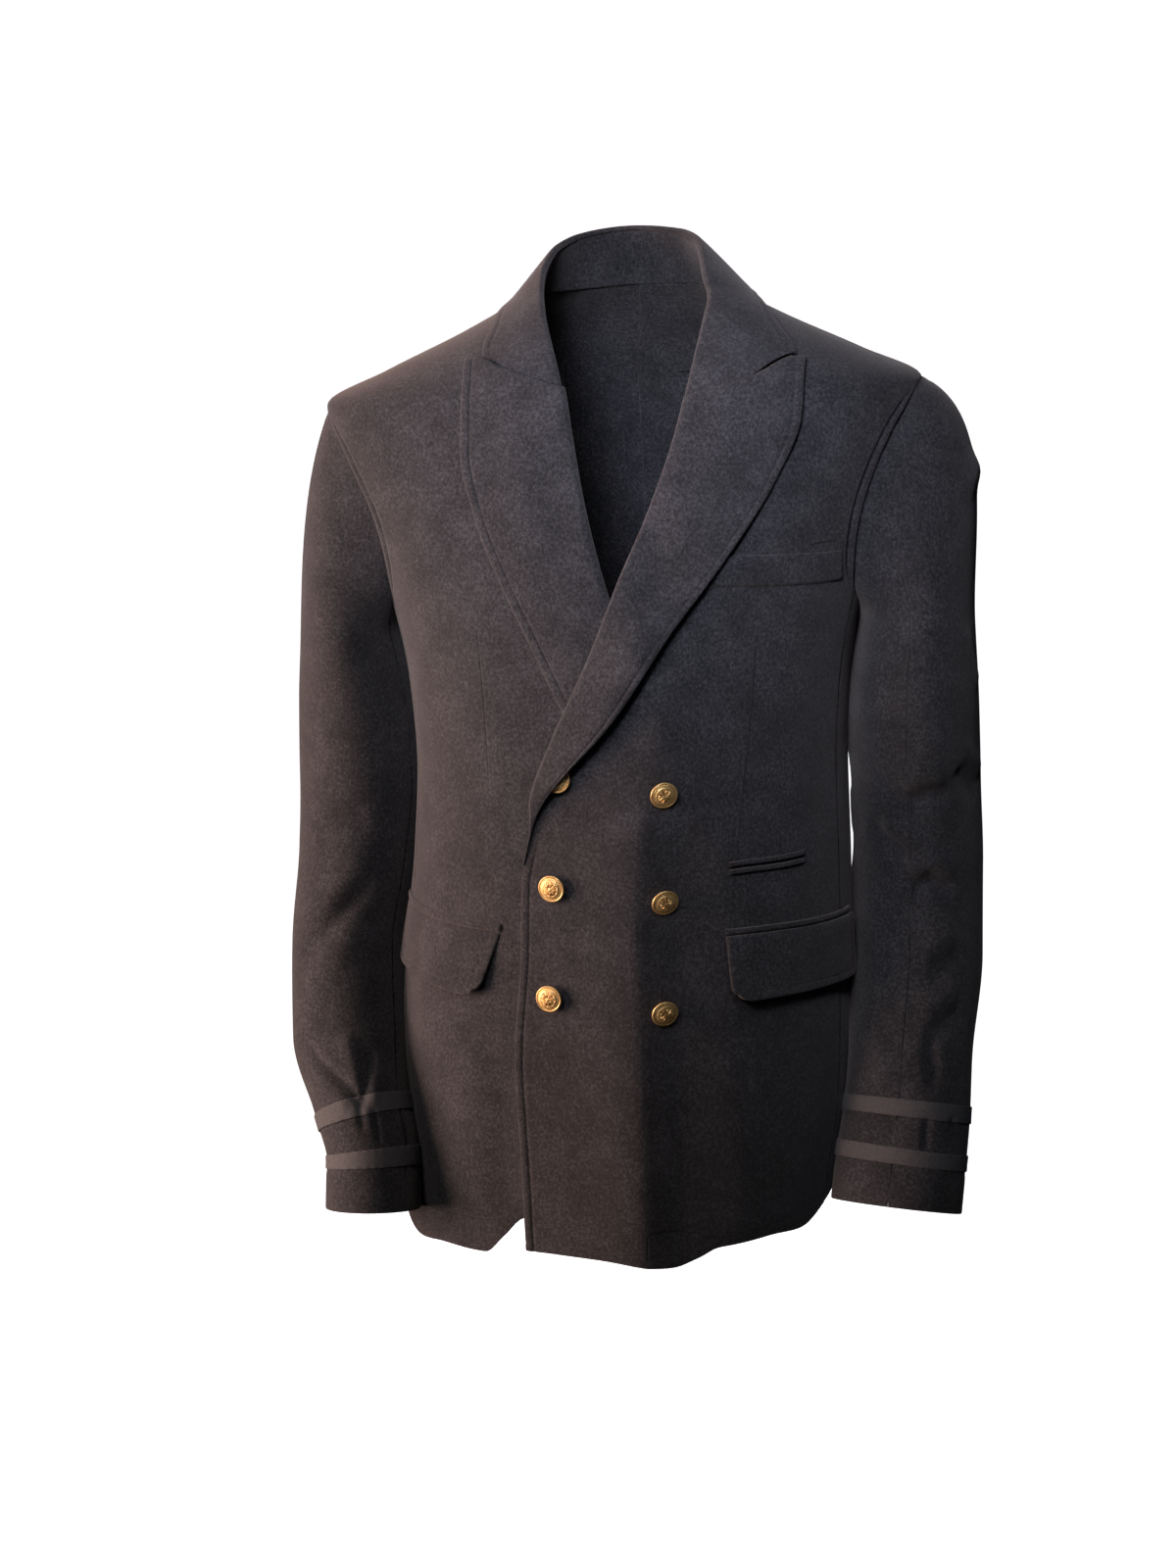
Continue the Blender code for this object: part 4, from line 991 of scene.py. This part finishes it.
def sleeve(side, name, first_seam, last_seam, material):
    """Half of a sleeve between two seams, from the armhole to the cuff, raised by its folds."""
    levels = arm_levels(side, FOLD_LINES, STITCHED_LINES)[1:]
    lines = np.array(SEAM_LINES) * MM
    samples = np.linspace(first_seam, last_seam, 120)
    reach = cap_reach(side, samples)

    def cap_shares(turns):
        """Shares of the head at its rows: the seam's lines in true length, then even to the first ring."""
        start = lines[:, None] / np.interp(turns[:len(lines)], samples, reach)
        rest = np.linspace(0, 1, HEAD_ROWS + 1)[1:, None]
        base = lines[-1] / np.interp(turns[len(lines):len(lines) + HEAD_ROWS], samples, reach)
        return np.concatenate([start, mix(base, 1.0, rest)])

    rows = len(lines) + HEAD_ROWS
    turns = np.broadcast_to(samples, (rows + len(levels), len(samples)))
    rough = sleeve_surface(side, cap_shares(turns), levels, turns)
    turns = evenly(samples, rough, CELL, SEAM_LINES, SEAM_LINES)
    points = sleeve_surface(side, cap_shares(turns), levels, turns)
    normals = grid_normals(points) * SIGN[side]
    out = sleeve_relief(side, turns, points)
    down = run_length(points, 0)
    out = out + stitched(down) * 0.5 * ease(np.cos(turns), -0.8, 0.2) + cuff_band(down[-1] - down)
    points = points + normals * out[..., None]
    nodes = [f"{name}_{stretch}_{side}" for stretch in STRETCHES[name]]
    cloth_piece(f"{name}_{side}", points, material, nodes,
                outward=grid_normals(points) * SIGN[side])


def tape_levels(side):
    """Levels of the arm's middle at the top and bottom of each tape."""
    levels = np.linspace(*ARMS[side]["z"][[-1, -4]], 60)
    middle = np.stack([*read(ARMS[side], levels, "x", "y"), levels], axis=-1)[None]
    run = run_length(middle, 1)[0]
    return {name: np.interp([above + TAPE_HEIGHT, above], run, levels)
            for name, above in TAPE_ABOVE_EDGE.items()}


def cuff_tape(side, name, material):
    """A band round the cuff over the sleeve's folds, puckered by waves along both edges."""
    top, bottom = tape_levels(side)[name]
    turn = np.linspace(0, 2 * np.pi, 161)[:-1]
    share = spread(TAPE_HEIGHT, 1.6 * MM, TAPE_LINES, TAPE_LINES)[0] / TAPE_HEIGHT
    levels = mix(top, bottom, share)[:, None] + 0 * turn
    turns = turn + 0 * levels
    points = arm_ring(side, levels, turns)
    normals = grid_normals(points, ring=True) * SIGN[side]
    pucker = TAPE_PUCKER * np.sin(turns * 31 + 1.3 * np.sin(turns * 7)) * np.abs(2 * share[:, None] - 1) ** 3
    out = sleeve_relief(side, turns, points) + TAPE_STANDS + pucker
    points = points + normals * out[..., None]
    cloth_piece(f"cuff_tape_{name}_{side}", points, material,
                ring=True, thick=TAPE_THICK,
                outward=grid_normals(points, ring=True) * SIGN[side])


# ---- pockets ----

PATCH_CLEAR = 0.35 * MM
JET_ROUND = 1.5 * MM
JET_LINES = (0, 0.3, 1.0)
JET_THICK = 1.2 * MM
WELT_THICK = 1.5 * MM
FLAP_THICK = 2.6 * MM
FLAP_STANDS = {"left": 3.4 * MM, "right": 8.0 * MM}
FLAP_CORNER = 13 * MM
HIP_ROUND = 1.28  # a hip pocket's run round the body, by its width seen from the front


def patch_rows(low, high, first, last):
    """Shares from 0 to 1 between two places, low end first, on set lines."""
    length = abs(high - low)
    return spread(length, FINE_CELL, first, last)[0] / length


def lying(name, side, angles, z, out, material, thick):
    """A piece on a front, from its grid of angles and levels and its height over the front's face."""
    x = body(angles, z)[..., 0]
    points = on_body(angles, z, front_lift(side, x, z) + out)
    cloth_piece(name, points, material, thick=thick)


def chest_welt(material):
    """A strip on the left chest between two straight slanting edges, sewn down at its foot."""
    across = patch_rows(*WELT["x"], FOLD_LINES, STITCHED_LINES)
    up = patch_rows(WELT["bottom"][0], WELT["top"][0], SEAM_LINES, STITCHED_LINES)[:, None]
    z = mix(mix(*WELT["bottom"], across), mix(*WELT["top"], across), up)
    x = mix(*WELT["x"], across) + 0 * z
    height = WELT["top"][0] - WELT["bottom"][0]
    sewn = -1.2 * MM * (1 - ease(up * height, 0, 2.5 * MM))
    out = PATCH_CLEAR + 1.7 * MM + sewn + 0.35 * MM * bump(up, 0.55, 0.35)
    out = out + stitched((1 - up) * height) * 0.5 * (1 - ease(x, 0.160, 0.170))
    lying("chest_welt", "left", angle_at(x, z), z, out + 0 * x, material, WELT_THICK)


def jet_grid(start, end):
    """Shares along and up a folded strip, and its rounded height over the cloth."""
    along = patch_rows(start, end, JET_LINES, JET_LINES)
    up = np.linspace(0, 1, 9)[:, None]
    return along, up, 1.0 * MM + JET_ROUND * np.sqrt(np.maximum(1 - (2 * up - 1) ** 2, 0)) + 0 * along


def ticket_jet(name, top, material):
    """One lip of the ticket pocket, half round in section and a little wavy along."""
    along, up, out = jet_grid(*TICKET_X)
    z = mix(top - TICKET_JET, top, up) + 0.5 * MM * np.sin(along * 5 + 1) + 0 * along
    x = mix(*TICKET_X, along) + 0 * z
    lying("ticket_jet_" + name, "left", angle_at(x, z), z, out, material, JET_THICK)


def hip_pocket(side, material):
    """A lip and a flap along one sagging line; the flap stands off more towards its front corner."""
    sign = SIGN[side]
    front = float(angle_at(sign * HIP_FRONT_X[side], HIP_JET_TOP))
    ends = body([front, sign * HIP_BACK_ANGLE], HIP_JET_TOP)[:, 0]
    length = float(abs(ends[1] - ends[0])) * HIP_ROUND
    along, up, out = jet_grid(0, length)
    z = mix(HIP_JET_TOP - HIP_JET, HIP_JET_TOP, up) - HIP_SAG[side] * along**1.5
    angles = mix(front, sign * HIP_BACK_ANGLE, along) + 0 * z
    lying("hip_jet_" + side, side, angles, z, out, material, JET_THICK)

    drop = patch_rows(0, HIP_FLAP, SEAM_LINES, STITCHED_LINES)[:, None]
    share = patch_rows(0, length, STITCHED_LINES, STITCHED_LINES)
    slant = float(angle_at(sign * (HIP_FRONT_X[side] + FLAP_SLANT[side]), HIP_JET_TOP)) - front
    top = HIP_JET_TOP - HIP_JET - GAP
    low_left = (1 - drop) * HIP_FLAP
    from_front = share * length
    corner = np.maximum(0, 1 - from_front / FLAP_CORNER) ** 2 * np.maximum(0, 1 - low_left / FLAP_CORNER) ** 2
    z = top - HIP_FLAP * drop - HIP_SAG[side] * share**1.5 + 7 * MM * corner
    angles = mix(front, sign * HIP_BACK_ANGLE, share) + slant * drop * (1 - share) + sign * 0.03 * corner
    edge = np.minimum(np.minimum(from_front, low_left + 0 * share), (1 - share) * length)
    stand = FLAP_STANDS[side] * np.maximum(drop, 0) ** 1.5 * (0.4 + 0.6 * (1 - ease(share, 0.05, 0.75)))
    wave = 0.8 * MM * drop * np.sin(share * 6.0 + 1.0)
    out = PATCH_CLEAR + FLAP_THICK + stitched(edge) * 0.6 + stand + wave
    out = out - 1.2 * MM * (1 - ease(drop * HIP_FLAP, 0, 3 * MM))
    lying("hip_flap_" + side, side, angles, z, out, material, FLAP_THICK)


# ---- buttons ----

BUTTON_CLEAR = 0.8 * MM
RELIEF_DEPTH = 0.7 * MM
PETALS = 8
BUTTON_PROFILE = (  # radius and height over the cloth in mm, from the shank's foot out to the rim
    (0.1, 0.0), (2.4, 0.0), (2.7, 0.4), (2.7, 2.2), (3.1, 2.5), (8.4, 2.7), (9.9, 3.1), (10.45, 3.7),
    (10.5, 4.2), (10.3, 4.7), (9.8, 4.95), (9.3, 4.8), (9.0, 4.55),
)
DOME_RADIUS = 8.9
DOME_HEIGHT = (4.5, 6.4)  # at the rim and in the middle, mm
DROOP = {5: 16.0, 6: 12.0, 4: 14.0}  # degrees that the plain column's buttons hang forward
TURN_EACH = 0.35  # radians by which the buttons are turned, one after another


def button_relief(radius, turn):
    """A rosette of petals inside a ring of beads, as height in mm."""
    petals = 0.5 + 0.5 * np.cos(turn * PETALS)
    r = radius / DOME_RADIUS
    rosette = bump(r, 0.40, 0.20) * petals**0.7 * 1.0
    veins = 0.35 * bump(r, 0.45, 0.2) * np.cos(turn * PETALS * 3)
    heart = 0.9 * bump(r, 0.0, 0.13)
    leaves = bump(r, 0.70, 0.075) * (0.4 + 0.6 * np.abs(np.cos(turn * 12 + 2.5 * r))) * 0.8
    rim = bump(r, 0.93, 0.05) * (0.55 + 0.45 * np.cos(turn * 40))
    return (rosette + veins + heart + leaves + rim * 0.7) * RELIEF_DEPTH / MM


def button(number, x, z, material):
    """A domed button with its rim, back and shank: a profile turned round, its dome carved in relief."""
    step = 5 * MM
    across = front_face("left", x + step, z) - front_face("left", x - step, z)
    up = front_face("left", x, z + step) - front_face("left", x, z - step)
    axis = unit(np.cross(across, up))
    seat = front_face("left", x, z) + axis * BUTTON_CLEAR
    level = unit(np.cross(axis, [0.0, 0.0, 1.0]))
    sag = np.radians(DROOP.get(number, 0.0))
    axis = unit(axis * np.cos(sag) - np.cross(level, axis) * np.sin(sag))
    upward = np.cross(level, axis)
    turn = np.linspace(0, 2 * np.pi, 161)[:-1]
    edge = np.array(BUTTON_PROFILE)
    dome_r = np.linspace(DOME_RADIUS, 0.06, 34)
    low, high = DOME_HEIGHT
    dome_h = low + (high - low) * (1 - (dome_r / DOME_RADIUS) ** 2)
    radius = np.concatenate([edge[:, 0], dome_r])[:, None] + 0 * turn
    height = np.concatenate([edge[:, 1], dome_h])[:, None] + 0 * turn
    carved = button_relief(radius, turn + TURN_EACH * number)
    height[len(edge):] += carved[len(edge):]
    ring = level * np.cos(turn)[:, None] + upward * np.sin(turn)[:, None]
    points = seat + ring * (radius * MM)[..., None] + axis * (height * MM)[..., None]
    rows, columns = radius.shape
    index = np.arange(rows * columns).reshape(rows, columns)
    index = np.hstack([index, index[:, :1]])
    points = np.concatenate([points.reshape(-1, 3), [points[0].mean(axis=0), points[-1].mean(axis=0)]])
    caps = [np.stack([ring_of[:-1:2], ring_of[1::2], ring_of[2::2], 0 * ring_of[2::2] + len(points) - 2 + k],
                     axis=-1) for k, ring_of in ((0, index[0]), (1, index[-1]))]
    quads = np.concatenate([grid_quads(index), caps[0][:, ::-1], caps[1]])
    piece = add_mesh(f"brass_button_{number}", points, quads, material)
    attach(piece, "root")
    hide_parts(f"button_{number}")


# ---- materials ----


def linear(hex_colour):
    """Linear colour from an sRGB hex code."""
    value = np.array([int(hex_colour[i:i + 2], 16) for i in (0, 2, 4)]) / 255
    value = np.where(value <= 0.04045, value / 12.92, ((value + 0.055) / 1.055) ** 2.4)
    return (*value, 1.0)


def fill(made, **given):
    """Settings and inputs of a node. A capitalised or numbered name is an input, which takes a value or a
    link; any other is a setting, and stops are a ramp's (place, hex colour) pairs."""
    for key, value in given.items():
        if key == "stops":
            elements = made.color_ramp.elements
            while len(elements) < len(value):
                elements.new(0.5)
            for element, (place, colour) in zip(elements, value):
                element.position, element.color = place, linear(colour)
        elif key[0].islower():
            setattr(made, key, value)
        else:
            socket = made.inputs[int(key[1:]) if key[0] == "_" else key.replace("_", " ")]
            if isinstance(value, bpy.types.NodeSocket):
                made.id_data.links.new(value, socket)
            else:
                socket.default_value = value


def node(tree, kind, out=0, **given):
    """Adds a node, filled as given, and gives one of its outputs."""
    made = tree.nodes.new("ShaderNode" + kind)
    fill(made, **given)
    return made.outputs[out]


def new_material(name):
    """A material, its tree, its shader, and the place on the object in metres."""
    material = bpy.data.materials.new(name)
    material.use_nodes = True
    tree = material.node_tree
    return material, tree, tree.nodes["Principled BSDF"], node(tree, "TexCoord", "Object")


def finish(tree, shader, relief, **given):
    """The shader's inputs, with its normal from layers of (height, strength, depth in mm)."""
    below = {}
    for height, strength, depth in relief:
        below["Normal"] = node(tree, "Bump", Height=height, Strength=strength, Distance=depth * MM, **below)
    fill(shader, **given, **below)


def wool_flannel():
    """Milled wool: a short dense nap that clouds the colour, stray paler fibres, a dull sheen.

    The nap and fibres are drawn coarser than the real 0.02 mm so that they show. Sewn lines and the ticket
    pocket's slit are thin grooves along the grid's own marks, darkened in colour as painted shade.
    """
    material, tree, shader, where = new_material("wool_flannel")
    upright = node(tree, "Mapping", Vector=where, Scale=(1.0, 1.0, 0.35))
    clouds = node(tree, "TexNoise", Vector=where, Scale=1 / (26 * MM), Detail=3.0)
    nap = node(tree, "TexNoise", Vector=where, Scale=1 / (2.4 * MM), Detail=3.0, Roughness=0.6)
    fibres = node(tree, "TexNoise", Vector=upright, Scale=1 / (0.9 * MM), Roughness=0.6)
    hair = node(tree, "Mix", Factor=0.4, A=nap, B=fibres)
    cloth = node(tree, "ValToRGB", Fac=node(tree, "Mix", Factor=0.2, A=hair, B=clouds),
                 stops=((0.39, "1f1e1f"), (0.50, "302d2e"), (0.61, "464243")))
    cell = node(tree, "TexVoronoi", "Distance", Vector=upright, Scale=1 / (9 * MM))
    lint = node(tree, "MapRange", Value=cell, From_Max=0.045, To_Min=0.30, To_Max=0.0)
    chosen = node(tree, "Math", operation="GREATER_THAN", _1=0.86,
                  _0=node(tree, "SeparateColor", Color=cell.node.outputs["Color"]))
    amount = node(tree, "Math", operation="MULTIPLY", _0=lint, _1=chosen)
    colour = node(tree, "Mix", 2, data_type="RGBA", _0=amount, _6=cloth, _7=linear("8e8478"))
    sewn = node(tree, "SeparateXYZ", Vector=node(tree, "Attribute", "Vector", attribute_name="sewn"))
    near = node(tree, "MapRange", interpolation_type="SMOOTHSTEP", From_Max=1.1, To_Min=1.0, To_Max=0.0,
                Value=node(tree, "Math", operation="ABSOLUTE", _0=sewn))
    line = node(tree, "Math", operation="MULTIPLY", _0=near, _1=sewn.node.outputs["Y"])
    # painted shade: near each marked line the cloth colour is darkened towards 0c0b0c, as shade in its groove
    dark = node(tree, "Math", operation="MULTIPLY", _0=line, _1=0.75)
    colour = node(tree, "Mix", 2, data_type="RGBA", _0=dark, _6=colour, _7=linear("0c0b0c"))
    groove = node(tree, "Math", operation="SUBTRACT", _0=1.0, _1=line)
    relief = (groove, 0.8, 0.8), (clouds, 0.25, 1.0), (nap, 0.5, 0.35), (fibres, 0.6, 0.18)
    finish(tree, shader, relief, Base_Color=colour, Roughness=0.92, Specular_IOR_Level=0.18,
           Sheen_Weight=0.35, Sheen_Roughness=0.55, Sheen_Tint=linear("c8b4a8"))
    return material


def ribbed_tape():
    """Dull woven braid: ribs 1.3 mm apart across a flat tape, greyer than the cloth."""
    material, tree, shader, where = new_material("ribbed_tape")
    grain = node(tree, "TexNoise", Vector=where, Scale=1 / (1.6 * MM))
    ribs = node(tree, "TexWave", "Fac", wave_type="BANDS", bands_direction="Z", Vector=where,
                Scale=1 / (np.pi * 1.3 * MM), Distortion=0.6)
    cloth = node(tree, "ValToRGB", Fac=node(tree, "Mix", Factor=0.3, A=grain, B=ribs),
                 stops=((0.25, "464140"), (0.75, "5f5956")))
    finish(tree, shader, ((grain, 0.3, 0.3), (ribs, 0.4, 0.2)), Base_Color=cloth, Roughness=0.85,
           Specular_IOR_Level=0.25, Sheen_Weight=0.1)
    return material


def antique_brass():
    """Stamped gold-coloured brass, worn bright on the high places and brown in the hollows."""
    material, tree, shader, where = new_material("antique_brass")
    hollow = node(tree, "AmbientOcclusion", "AO", samples=8, Distance=0.9 * MM)
    grime = node(tree, "TexNoise", Vector=where, Scale=1 / (1.4 * MM), Detail=3.0)
    open_share = node(tree, "Math", operation="MULTIPLY", _0=hollow, _1=0.85)
    worn = node(tree, "Math", operation="MULTIPLY_ADD", _0=grime, _1=0.3, _2=open_share)
    colour = node(tree, "ValToRGB", Fac=worn, stops=((0.45, "6a3a14"), (0.75, "d08c3e"), (1.0, "f8c982")))
    rough = node(tree, "MapRange", Value=grime, To_Min=0.32, To_Max=0.50)
    finish(tree, shader, ((grime, 0.15, 0.1),), Base_Color=colour, Metallic=0.7, Roughness=rough)
    return material


# ---- camera, light and floor ----

TARGET = np.array([-0.036, 0.0, -0.395])
CAMERA_TURN, CAMERA_UP, CAMERA_ROLL = np.radians([8.5, 14.5, 1.9])
CAMERA_DISTANCE = 1.85
FOCAL = 52.03  # mm, on a frame 36 mm high
FLOOR_LEVEL = -1.55


def placed(name, data, at, axes):
    """An object of the scene at a point, with its own three axes as given."""
    made = bpy.data.objects.new(name, data)
    turn = np.eye(4)
    turn[:3, :3], turn[:3, 3] = np.stack(axes, axis=1), at
    made.matrix_world = Matrix(turn.tolist())
    bpy.context.scene.collection.objects.link(made)
    return made


def camera():
    """Camera in front, a little to the wearer's left and above, and slightly rolled."""
    a, e, r = CAMERA_TURN, CAMERA_UP, CAMERA_ROLL
    back = np.array([np.sin(a) * np.cos(e), -np.cos(a) * np.cos(e), np.sin(e)])
    right = np.array([np.cos(a), np.sin(a), 0.0])
    up = np.cross(back, right)
    data = bpy.data.cameras.new("camera")
    data.sensor_fit = "VERTICAL"
    data.sensor_height, data.lens = 36.0, FOCAL
    axes = np.cos(r) * right - np.sin(r) * up, np.sin(r) * right + np.cos(r) * up, back
    bpy.context.scene.camera = placed("camera", data, TARGET + back * CAMERA_DISTANCE, axes)


def area_light(name, place, aim, size, power, colour, spread=180.0):
    """Round soft light at a place, aimed at a point; spread in degrees."""
    data = bpy.data.lights.new(name, "AREA")
    data.shape, data.size, data.energy, data.color = "DISK", size, power, linear(colour)[:3]
    data.spread = np.radians(spread)
    back = unit(np.array(place, float) - aim)
    right = unit(np.cross([0.0, 0.0, 1.0], back))
    placed(name, data, place, (right, np.cross(back, right), back))


def floor():
    """Pale floor that curves up into a wall far behind; it is seen, but its glow does not light the cloth."""
    material, _tree, shader, _where = new_material("pale_floor")
    fill(shader, Base_Color=linear("f4f4f4"), Roughness=0.9, Emission_Color=linear("ffffff"),
         Emission_Strength=1.0)
    across = np.linspace(-9, 9, 3)
    bend = np.linspace(0, np.pi / 2, 40)
    y = np.concatenate([np.linspace(-6, 4, 8)[:-1], 4 + 2 * np.sin(bend), [6.0]])[:, None]
    z = np.concatenate([np.full(7, FLOOR_LEVEL), FLOOR_LEVEL + 2 - 2 * np.cos(bend), [6.0]])[:, None]
    points = np.stack(np.broadcast_arrays(across, y, z), axis=-1)
    mesh = bpy.data.meshes.new("floor")
    quads = grid_quads(np.arange(points.size // 3).reshape(-1, 3))
    mesh.from_pydata(points.reshape(-1, 3).tolist(), [], quads.tolist())
    mesh.shade_smooth()
    mesh.materials.append(material)
    made = bpy.data.objects.new("floor", mesh)
    bpy.context.scene.collection.objects.link(made)
    made.visible_diffuse = made.visible_glossy = False


def light():
    """A warm lamp low at the wearer's right, cooler ones in front, and a soft one behind."""
    world = bpy.data.worlds.new("studio")
    world.use_nodes = True
    fill(world.node_tree.nodes["Background"], Color=linear("a8b6cc"), Strength=0.02)
    bpy.context.scene.world = world
    area_light("warm_side", (-2.34, -0.80, -0.23), (-0.05, -0.1, -0.4), 1.6, 104.0, "ffe3da")
    area_light("front_fill", (-0.4, -1.2, 0.5), (0.0, -0.1, -0.1), 0.4, 5.4, "f2f8ff")
    area_light("cool_chest", (-0.05, -1.1, 0.45), (0.05, -0.1, -0.07), 0.4, 0.8, "d4e3ff", 32.0)
    area_light("cool_hip", (0.28, -0.85, 0.55), (0.15, -0.1, -0.52), 0.3, 0.06, "d4e3ff", 18.0)
    area_light("back_fill", (-0.6, 2.0, -0.35), (0.0, 0.1, -0.35), 1.5, 26.0, "f4f6ff")


# ---- the whole ----


def sleeve_seams(side):
    """Turns round the arm between which each half of a sleeve lies."""
    front = FRONT_SLEEVE_SEAM[side]
    return {"under_sleeve": (front, BACK_SLEEVE_SEAM), "top_sleeve": (BACK_SLEEVE_SEAM, front + 2 * np.pi)}


def build():
    """All pieces, each material made once."""
    wool, tape, brass = wool_flannel(), ribbed_tape(), antique_brass()
    for side in SIGN:
        front_panel(side, wool)
        side_body(side, wool)
        back_panel(side, wool)
        lapel(side, wool)
        for name, seams in sleeve_seams(side).items():
            sleeve(side, name, *seams, wool)
        for name in TAPE_ABOVE_EDGE:
            cuff_tape(side, name, tape)
        hip_pocket(side, wool)
    collar_fall(wool)
    collar_stand(wool)
    chest_welt(wool)
    ticket_jet("upper", TICKET_Z + TICKET_JET + TICKET_SLIT, wool)
    ticket_jet("lower", TICKET_Z, wool)
    for number, (x, z) in enumerate(BUTTONS, start=1):
        button(number, x, z, brass)


camera()
light()
floor()
build()
bpy.context.scene.view_settings.view_transform = "Standard"
